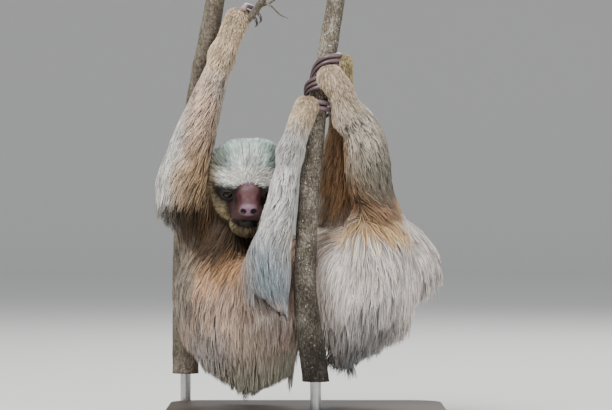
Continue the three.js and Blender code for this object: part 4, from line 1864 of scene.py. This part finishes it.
    def clump(self, paths: Array, roots: Array, zone: Zone) -> Array:
        """Gather locks into large and small tufts, whose paths lean together towards the tip.

        Args:
            paths: (n, steps + 1, 3) places.
            roots: (n, 3) roots.
            zone: their zone.

        Returns:
            The gathered paths.
        """
        tufts = ((zone.clump, zone.gather, 71), (zone.clump * 0.42, zone.gather * 0.7, 72))
        for size, gather, seed in tufts:
            shift = np.stack([noise(roots, size, seed + k) for k in (0, 7, 13)], 1)
            cell = np.floor((roots + size * 0.6 * shift) / size).astype(np.int64)
            _, tuft = np.unique(cell, axis=0, return_inverse=True)
            tuft = tuft.ravel()
            members = np.bincount(tuft)[:, None, None]
            mean = np.zeros((len(members), *paths.shape[1:]))
            np.add.at(mean, tuft, paths)
            mean /= members
            share = np.linspace(0, 1, paths.shape[1])[None, :, None]
            chance = lattice(np.stack([tuft, tuft * 0, tuft * 0], 1), seed)
            strength = np.clip(gather * (0.6 + 0.8 * chance), 0, 0.9)[:, None, None]
            paths = paths + (mean[tuft] - paths) * strength * share**1.4
        return paths

    def ripple(self, paths: Array, normals: Array, roots: Array, zone: Zone) -> Array:
        """Wave each lock from side to side, in step with its neighbours and more to the tip.

        Args:
            paths: (n, steps + 1, 3) places.
            normals: (n, 3) outward directions.
            roots: (n, 3) roots.
            zone: their zone.

        Returns:
            The waved paths.
        """
        share = np.linspace(0, 1, paths.shape[1])[None, :]
        along = np.gradient(paths, axis=1)
        side = unit(np.cross(along, normals[:, None]))
        phase = 4 * noise(roots, 16, 81)[:, None] + 0.8 * self.rng.random((len(roots), 1))
        turns = zone.steps / 3.2
        sway = zone.wave * np.sin(2 * np.pi * (turns * share + phase)) * share
        stray = 0.6 * zone.wave * (self.rng.random((len(roots), 1)) - 0.5) * 2 * share**2
        return paths + side * (sway + stray)[..., None]

    def grow(self, skin_piece: Object, material: Material) -> None:
        """Grow every zone's coat piece.

        Args:
            skin_piece: the skin's object, that the roots stand on.
            material: the hair's material.
        """
        points, number = self.roots(skin_piece)
        total = 0
        for i, zone in enumerate(self.coat.zones):
            roots = points[number == i]
            paths, outs = self.trace(roots, zone)
            front = outs[:, 0, 1] < 0
            parts = [("", front | True)]
            if zone.name == "torso_chest":
                parts = [("_front", front), ("_back", ~front)]
            for end, mine in parts:
                name = f"coat_{zone.name}{end}"
                piece = self.mesh(zone, name, roots[mine], paths[mine], outs[mine])
                dress(piece, material)
                total += int(mine.sum()) * (6 * zone.steps - 2)
        log.info("coat: %d triangles", total)

    def mesh(self, zone: Zone, name: str, roots: Array, paths: Array, outs: Array) -> Object:
        """Mesh a zone's locks as closed three-sided spikes.

        A ring's corner is path + w (cos a * side + flat sin a * up); the width w swells from the
        root and tapers to nothing at the tip. The shading normals lean towards the body's own, so
        that the coat reads as one soft mass, and never point steeply down; they lean less under it.

        Args:
            zone: the zone.
            name: the piece's name.
            roots: (n, 3) roots.
            paths: (n, steps + 1, 3) places along each lock.
            outs: (n, steps + 1, 3) the body's outward directions.

        Returns:
            The coat piece, painted and unwrapped.
        """
        count, stations = paths.shape[:2]
        rings = stations - 1
        along = unit(np.gradient(paths, axis=1))
        away = (roots - roots.mean(0)) * np.array([1.0, 1.0, 0.0])
        steep = smooth(0.6, 0.95, np.abs((outs * along).sum(-1)))[..., None]
        soft = self.soft * (1 - 0.85 * smooth(0.35, 0.75, -outs[:, :rings, 2:]))
        outs = unit(outs + steep * unit(away)[:, None])
        side = unit(np.cross(outs, along))
        up = np.cross(along, side)
        share = np.linspace(0, 1, stations)[:rings]
        profile = (0.55 + 1.0 * share) * (1 - share) ** 0.7 * 1.25
        width = zone.width * (0.65 + 0.7 * self.rng.random(count))[:, None] * profile[None]
        lit = outs[:, :rings].copy()
        lit[..., 2] = np.maximum(lit[..., 2], -0.2)
        corners = []
        leans = []
        for angle in (math.pi / 2, math.pi * 7 / 6, math.pi * 11 / 6):
            offset = math.cos(angle) * side[:, :rings] + self.flat * math.sin(angle) * up[:, :rings]
            corners.append(paths[:, :rings] + width[..., None] * offset)
            leans.append(unit(unit(offset) * (1 - soft) + unit(lit + up[:, :rings]) * soft))
        body = np.stack(corners, axis=2).reshape(count, rings * 3, 3)
        lean = np.stack(leans, axis=2).reshape(count, rings * 3, 3)
        points = np.concatenate([body, paths[:, -1:]], axis=1).reshape(-1, 3)
        lean = np.concatenate([lean, up[:, -1:]], axis=1).reshape(-1, 3)
        per = rings * 3 + 1
        base = (np.arange(count) * per)[:, None, None]
        r = np.arange(rings - 1)[:, None] * 3
        k = np.arange(3)
        after = (k + 1) % 3
        quad = np.stack([r + k, r + after, r + 3 + after, r + 3 + k], axis=-1).reshape(-1, 4)
        last = (rings - 1) * 3
        tip = np.stack([last + k, last + after, np.full(3, per - 1)], axis=-1)
        cap = np.array([[0, 2, 1]])
        quads = (quad[None] + base).reshape(-1, 4)
        tris = (np.concatenate([tip, cap])[None] + base).reshape(-1, 3)
        piece = write_mesh(name, points, [quads, tris])
        piece.data.normals_split_custom_set_from_vertices(lean.astype(np.float32))
        middle = paths[:, round(0.5 * rings)]
        tone = self.coat.colour(middle) * self.variation(roots)[:, None]
        paint(piece, "marking", np.repeat(np.clip(tone, 0, 1), per, axis=0))
        ring_share = np.append(np.repeat(share, 3), 1.0)
        across = np.append(np.tile([0.5, 0.0, 1.0], rings), 0.5)
        local = np.stack([np.tile(across, (count, 1)), np.tile(ring_share, (count, 1))], axis=-1)
        shift = np.stack([self.strands * self.rng.random(count), np.zeros(count)], 1)
        write_uv(piece, "strand", (local + shift[:, None]).reshape(-1, 2))
        patch = self.chart(zone, roots)[:, None] + (local - 0.5) * self.patch
        write_uv(piece, "OFBake", patch.reshape(-1, 2))
        return piece

    def variation(self, roots: Array) -> Array:
        """Each lock's own lightness: a few dark locks among paler ones, in small drifts."""
        spread = self.rng.normal(0, 0.32, len(roots)) + 0.30 * noise(roots, 5, 33)
        return np.clip(np.exp(spread), 0.28, 1.6)

    def chart(self, zone: Zone, roots: Array) -> Array:
        """Unwrap round the zone's axis: the angle about it across, the share along it upwards.

        Args:
            zone: the zone.
            roots: (n, 3) roots.

        Returns:
            (n, 2) places on the map.
        """
        _, share, foot, heading = zone.nearest(roots)
        line = zone.line()
        axis = unit(line[-1, :3] - line[0, :3])
        right = unit(np.cross(axis, np.array([0.0, 1.0, 0.0])))
        deep = np.cross(axis, right)
        radial = roots - foot
        angle = np.arctan2(radial @ deep, radial @ right) / (2 * np.pi) + 0.5
        beyond = (radial * axis).sum(1)
        height = 0.16 + 0.68 * share + beyond * 0.003
        return np.clip(np.stack([0.004 + 0.992 * angle, height], 1), 0.003, 0.997)


# ---- Eyes and claws ----
@dataclass
class Eye:
    """An eyeball with a raised cornea, looking ahead."""

    side: int
    name: str
    radius: float = EYE_RADIUS
    gaze: tuple[float, float, float] = (0.12, -0.04, 1.0)
    bulge: float = 0.055

    def build(self, material: Material) -> None:
        """Make the eye: a sphere whose radius swells smoothly within 30 degrees of the gaze.

        Args:
            material: the eye's material.
        """
        rows, columns = 28, 40
        polar = np.linspace(0, np.pi, rows + 1)[1:-1]
        turn = np.linspace(0, 2 * np.pi, columns, endpoint=False)
        reach = self.radius * (1 + self.bulge * smooth(0.52, 0.0, polar))
        ahead = unit(np.array(self.gaze) * np.array([self.side, 1, 1])) @ HEAD_AXES
        right = unit(np.cross(ahead, np.array([0, 0, 1.0])))
        top = np.cross(right, ahead)
        centre = in_head(self.side * EYE_SIDE, 0, 0)
        ring = np.cos(turn)[None, :, None] * right + np.sin(turn)[None, :, None] * top
        way = np.cos(polar)[:, None, None] * ahead + np.sin(polar)[:, None, None] * ring
        body = centre + reach[:, None, None] * way
        front = centre + ahead * self.radius * (1 + self.bulge)
        back = centre - ahead * self.radius
        points = np.vstack([body.reshape(-1, 3), front, back])
        piece = outward(write_mesh(self.name, points, ring_faces(rows - 1, columns)))
        angles = np.concatenate([np.repeat(polar, columns), [0.0, np.pi]])
        paint(piece, "gaze", angles / (np.pi / 2))
        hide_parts(self.name.replace("eyeball", "eye"))
        dress(piece, material)


@dataclass
class Claw:
    """A long curved claw along a path, taller than it is wide, tapering to a blunt point."""

    name: str
    path: Array
    square: Array
    radius: float = 3.7
    height: float = 1.3
    taper: float = 0.82
    rings: int = 40

    def build(self, material: Material) -> None:
        """Sweep the claw, with radius r(1 - taper s^1.5) at share s of its length.

        Args:
            material: the claw's material.
        """
        share = np.linspace(0, 1, self.rings)
        radii = self.radius * (1 - self.taper * share**1.5) * self.height
        line = catmull(self.path, self.rings)
        points, faces, around, along = sweep(line, radii, 14, 1 / self.height, self.square)
        piece = outward(write_mesh(f"{self.name}_horn", points, faces))
        write_uv(piece, "length", np.stack([around, along], 1))
        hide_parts(self.name)
        dress(piece, material)


@dataclass
class Grip:
    """All the claws.

    Three on each foot and two on the right hand are wound round the front stem, and the left hand's
    two hook the twig. The feet's roots are a pitch apart, and a claw clears the bark by the gap.
    """

    pitch: float = 7.6
    gap: float = 0.7
    count: int = 7
    twig_way: tuple[float, float, float] = (0.63, -0.52, 0.575)

    def stem_at(self, height: float) -> tuple[Array, float]:
        """The front stem's centre and radius at a height.

        Args:
            height: in mm.

        Returns:
            (centre, radius).
        """
        line = catmull(np.array([[*p, r] for p, r in FRONT_STEM]), 200)
        row = [np.interp(height, line[:, 2], line[:, k]) for k in range(4)]
        return np.array([row[0], row[1], height]), row[3]

    def round_stem(
        self, height: float, start: float, turn: float, sink: float, late: float, lift: float
    ) -> Array:
        """A path wound round the front stem, fast at first, while it sinks, slowly at first.

        Args:
            height: of the claw's root.
            start: the root's angle in degrees, 0 to the right and -90 in front.
            turn: degrees that the claw winds.
            sink: how far the point lies below the root.
            late: how late it sinks; 1 is steadily.
            lift: how far it stands off the bark.

        Returns:
            (count + 1, 3) places.
        """
        places = []
        for share in np.linspace(0, 1, self.count + 1):
            angle = math.radians(start + turn * (1 - (1 - share) ** 1.8))
            centre, radius = self.stem_at(height - sink * share**late)
            thick = 3.6 * (1 - 0.78 * share**1.4) * 1.3  # half the claw's height here
            reach = radius + thick + self.gap + lift * min(1, 2 * share)
            places.append(centre + reach * np.array([math.cos(angle), math.sin(angle), 0]))
        return np.array(places)

    def round_twig(self, offset: float) -> Array:
        """A path hooked over the twig, an offset along it from where the hand holds.

        Args:
            offset: in mm.

        Returns:
            (count + 1, 3) places.
        """
        axis = unit(np.array(self.twig_way))
        start = np.array([-0.5, 0.1, 0.85])
        start = unit(start - (start @ axis) * axis)
        over = np.cross(start, axis)
        share = np.linspace(0, 1, self.count + 1)[:, None]
        angle = np.radians(-40 + 215 * share)
        ring = start * np.cos(angle) + over * np.sin(angle)
        return TWIG[2][0] + axis * offset + (17 - 1.5 * share) * ring

    def build(self, material: Material) -> None:
        """Make the ten claws.

        Args:
            material: the claws' material.
        """
        level = np.array([0.0, 0.0, 1.0])
        for i in range(3):
            drop = self.pitch * i
            rear = self.round_stem(535 - drop, 10, -196 + 12 * i, 66 - 4 * i, 2.6, 0)
            near = self.round_stem(506 - drop, -40, -142 + 14 * i, 32 - 6 * i, 1.7, 5)
            Claw(f"claw_foot_left_{i + 1}", rear, level).build(material)
            Claw(f"claw_foot_right_{i + 1}", near, level).build(material)
        for i in range(2):
            grip = self.round_stem(467 - 8.6 * i, -140, 205, 22, 1.8, 2)
            hook = self.round_twig(9.4 * i - 4.7)
            Claw(f"claw_hand_right_{i + 1}", grip, level).build(material)
            Claw(f"claw_hand_left_{i + 1}", hook, np.array(self.twig_way)).build(material)


# ---- Perch and stand ----
@dataclass
class Stem:
    """A cut length of stem, level at both ends, with lumps, ridges and a fine grain in its bark."""

    node: str
    stations: list
    rings: int = 260
    sides: int = 72
    lump: float = 0.9
    ridge: float = 0.45
    grain: float = 0.22
    inner: float = 0.985  # the bark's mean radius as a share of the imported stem's
    seed: int = 0

    def build(self, material: Material) -> None:
        """Sweep the stem, whose radius is r + broad lumps + fine lengthwise ridges.

        Args:
            material: the bark.
        """
        line = catmull(np.array([[*p, r] for p, r in self.stations]), self.rings)
        path, radii = line[:, :3], line[:, 3] * self.inner
        turn = np.linspace(0, 2 * np.pi, self.sides, endpoint=False)
        ring = np.stack([np.cos(turn), np.sin(turn), np.zeros(self.sides)], -1)
        rough = path[:, None] + radii[:, None, None] * ring
        drawn = rough * np.array([1, 1, 0.22])
        swell = self.lump * noise(rough, 24, self.seed)
        swell += self.ridge * noise(drawn, 3.4, self.seed + 1)
        swell += self.grain * noise(rough, 2.2, self.seed + 2)
        body = path[:, None] + (radii[:, None] + swell)[..., None] * ring
        low, high = self.stations[0][0][2], self.stations[-1][0][2]
        body[..., 2] = np.clip(body[..., 2], low, high)
        points = np.vstack([body.reshape(-1, 3), path[0], path[-1]])
        faces = ring_faces(self.rings, self.sides)
        piece = outward(write_mesh(f"{self.node}_bark", points, faces))
        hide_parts(self.node)
        dress(piece, material)


@dataclass
class Twig:
    """The twig that the left hand hooks, with thin side shoots, joined into one piece."""

    node: str = "perch_twig"

    def build(self, material: Material) -> None:
        """Sweep the twig and its shoots and join their arrays.

        Args:
            material: the bark.
        """
        upper = [(at(-70, 21, 606), 2.2), (at(-52, 8, 612), 1.7), (at(-36, 2, 622), 1.2),
                 (at(-24, 0, 626), 0.7)]
        lower = [(at(-64, 14, 614), 1.8), (at(-50, 4, 606), 1.4), (at(-38, 0, 594), 1.0),
                 (at(-26, -4, 588), 0.6)]
        tip = [(at(-60, 8, 620), 1.8), (at(-58, 2, 634), 1.3), (at(-62, -2, 646), 0.8)]
        points, faces = [], [[], []]
        offset = 0
        for stations, sides in ((TWIG, 24), (upper, 10), (lower, 10), (tip, 8)):
            line = catmull(np.array([[*p, r] for p, r in stations]), 60)
            body, (quads, first, last), _, _ = sweep(line[:, :3], line[:, 3], sides)
            bumps = 0.35 * noise(body, 3.0, 91) + 0.4 * noise(body, 9.0, 92)
            centre = np.vstack([np.repeat(line[:, :3], sides, 0), body[-2:]])
            thick = np.append(np.repeat(line[:, 3], sides), [0, 0])
            rough = bumps[:, None] * np.minimum(1, thick / 5)[:, None]
            body = body + unit(body - centre + 1e-6) * rough
            points.append(body)
            faces[0].append(quads + offset)
            faces[1] += [first + offset, last + offset]
            offset += len(body)
        faces = [np.vstack(kind) for kind in faces]
        piece = outward(write_mesh("perch_twig_bark", np.vstack(points), faces))
        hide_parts(self.node)
        dress(piece, material)


@dataclass
class Stand:
    """The board, rounded at its corners and edges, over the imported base."""

    node: str = "stand_base"
    corner: float = 45.0
    edge: float = 2.0

    def build(self, board: Material, steel: Material) -> None:
        """Loft the board from its outline and give the rods their finish.

        Args:
            board: the board's material.
            steel: the rods'.
        """
        low, high = (np.array(c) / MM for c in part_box(self.node))
        half = (high - low) / 2
        centre = (high + low) / 2
        turn = np.linspace(0, np.pi / 2, 17)
        outline = []
        for k, (sx, sy) in enumerate(((1, 1), (-1, 1), (-1, -1), (1, -1))):
            angle = turn + k * np.pi / 2
            mid = np.array([sx * (half[0] - self.corner), sy * (half[1] - self.corner)])
            outline.append(mid + self.corner * np.stack([np.cos(angle), np.sin(angle)], -1))
        outline = np.vstack(outline)
        bevel = np.linspace(0, np.pi / 2, 6)
        near, far = self.edge * (1 - np.cos(bevel)), self.edge * (1 - np.sin(bevel))
        inset = np.concatenate([far, near])
        rise = np.concatenate([low[2] + near, high[2] - far])
        scale = 1 - inset[:, None] / half[:2]
        rings = [
            np.column_stack([centre[:2] + outline * k, np.full(len(outline), z)])
            for k, z in zip(scale, rise)
        ]
        points = np.vstack([*rings, [[*centre[:2], low[2]]], [[*centre[:2], high[2]]]])
        faces = ring_faces(len(rings), len(outline))
        piece = outward(write_mesh("stand_board", points, faces))
        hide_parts(self.node)
        dress(piece, board)
        for node in ("stand_rod_front", "stand_rod_rear"):
            fitting = frame["nodes"][node]
            fitting.data.materials.clear()
            fitting.data.materials.append(steel)
            log.info("%s: in steel", node)


# ---- Studio ----
@dataclass
class Studio:
    """Camera, pale floor and soft light."""

    distance: float = 4000.0
    millimetres_across: float = 887.4
    centre_height: float = 317.75
    sensor: float = 36.0

    def camera(self) -> None:
        """A long lens, level, looking along +Y at the front stem."""
        data = bpy.data.cameras.new("camera")
        data.sensor_width = self.sensor
        data.lens = self.sensor * self.distance / self.millimetres_across
        data.clip_end = 50.0
        camera = bpy.data.objects.new("camera", data)
        camera.location = (0.0, (FRONT_STEM_Y - self.distance) * MM, self.centre_height * MM)
        camera.rotation_euler = (math.pi / 2, 0.0, 0.0)
        bpy.context.collection.objects.link(camera)
        bpy.context.scene.camera = camera

    def floor(self) -> None:
        """A round floor that curves up far away into a low wall, which hides the horizon."""
        material, _, shader = Finish("studio floor", roughness=0.9).start()
        shader.inputs["Base Color"].default_value = (0.78, 0.78, 0.76, 1)
        bend = np.linspace(0, np.pi / 2, 14)
        radii = np.concatenate([[400, 1500, 4000, 8000], 9000 + 2500 * np.sin(bend)])
        heights = np.concatenate([[0, 0, 0, 0], 2500 * (1 - np.cos(bend))]) - 0.5
        sides = 96
        turn = np.linspace(0, 2 * np.pi, sides, endpoint=False)
        outs = np.cos(turn), np.sin(turn), turn * 0 + 1
        rings = np.stack([np.outer(r, out) for r, out in zip((radii, radii, heights), outs)], -1)
        points = np.vstack([rings.reshape(-1, 3), [[0, 0, -0.5]]])
        quads = ring_faces(len(radii), sides)[0][:, [0, 3, 2, 1]]
        j = np.arange(sides)
        middle = np.stack([np.full(sides, len(points) - 1), j, (j + 1) % sides], -1)
        piece = write_mesh("studio_floor", points, [quads, middle])
        piece.data.materials.append(material)

    def lamp(
        self, name: str, place: tuple, size: float, power: float, colour: Colour = (1, 1, 1)
    ) -> None:
        """A soft area lamp aimed at the model's middle.

        Args:
            name: its name.
            place: in metres.
            size: its width in metres.
            power: in watts.
            colour: its colour.
        """
        data = bpy.data.lights.new(name, "AREA")
        data.size = size
        data.energy = power
        data.color = colour
        lamp = bpy.data.objects.new(name, data)
        lamp.location = place
        x, y, z = np.array([0.0, 0.0, 0.3]) - np.array(place)
        tilt = math.atan2(math.hypot(x, y), -z)
        lamp.rotation_euler = (tilt, 0.0, math.atan2(x, -y) + math.pi)
        bpy.context.collection.objects.link(lamp)

    def build(self) -> None:
        """Set up the studio."""
        self.camera()
        self.floor()
        self.lamp("key", (-1.0, -1.9, 2.9), 1.5, 150, (1.0, 0.985, 0.96))
        self.lamp("fill", (2.4, -2.2, 1.3), 2.4, 30, (0.95, 0.97, 1.0))
        self.lamp("rim", (0.8, 2.2, 2.6), 1.8, 70)
        world = bpy.data.worlds.new("studio")
        world.use_nodes = True
        world.node_tree.nodes["Background"].inputs[0].default_value = (0.93, 0.95, 0.98, 1)
        world.node_tree.nodes["Background"].inputs[1].default_value = 0.45
        bpy.context.scene.world = world


def main() -> None:
    """Build the model in order, from the studio to the coat."""
    Studio().build()
    hair = HairFinish("coat hair", roughness=0.62, specular=0.22).build()
    hide = HideFinish("hide", specular=0.28).build()
    horn = HornFinish("horn", roughness=0.32, specular=0.55).build()
    skin = Skin()
    coat = Coat(body_zones(), body_marks(), body_combs(), skin.head)
    skin_piece = skin.build(coat, hide)
    Barber(skin, coat).grow(skin_piece, hair)
    eye = EyeFinish("eye", roughness=0.1, specular=0.2).build()
    Eye(1, "eyeball_left").build(eye)
    Eye(-1, "eyeball_right").build(eye)
    Grip().build(horn)
    front = BarkFinish("front bark", roughness=0.88, specular=0.2).build()
    Stem("perch_front_stem", FRONT_STEM, seed=3).build(front)
    rear = BarkFinish(
        "rear bark", 0.9, 0.2, light=(0.30, 0.26, 0.21), specks=0.7, foot=0.85, gain=0.92
    ).build()
    Stem("perch_rear_stem", REAR_STEM, seed=31, rings=200, sides=56).build(rear)
    Twig().build(rear)
    board = BoardFinish("stained board", roughness=0.42).build()
    Stand().build(board, SteelFinish("steel", roughness=0.3).build())


if __name__ == "__main__":
    main()
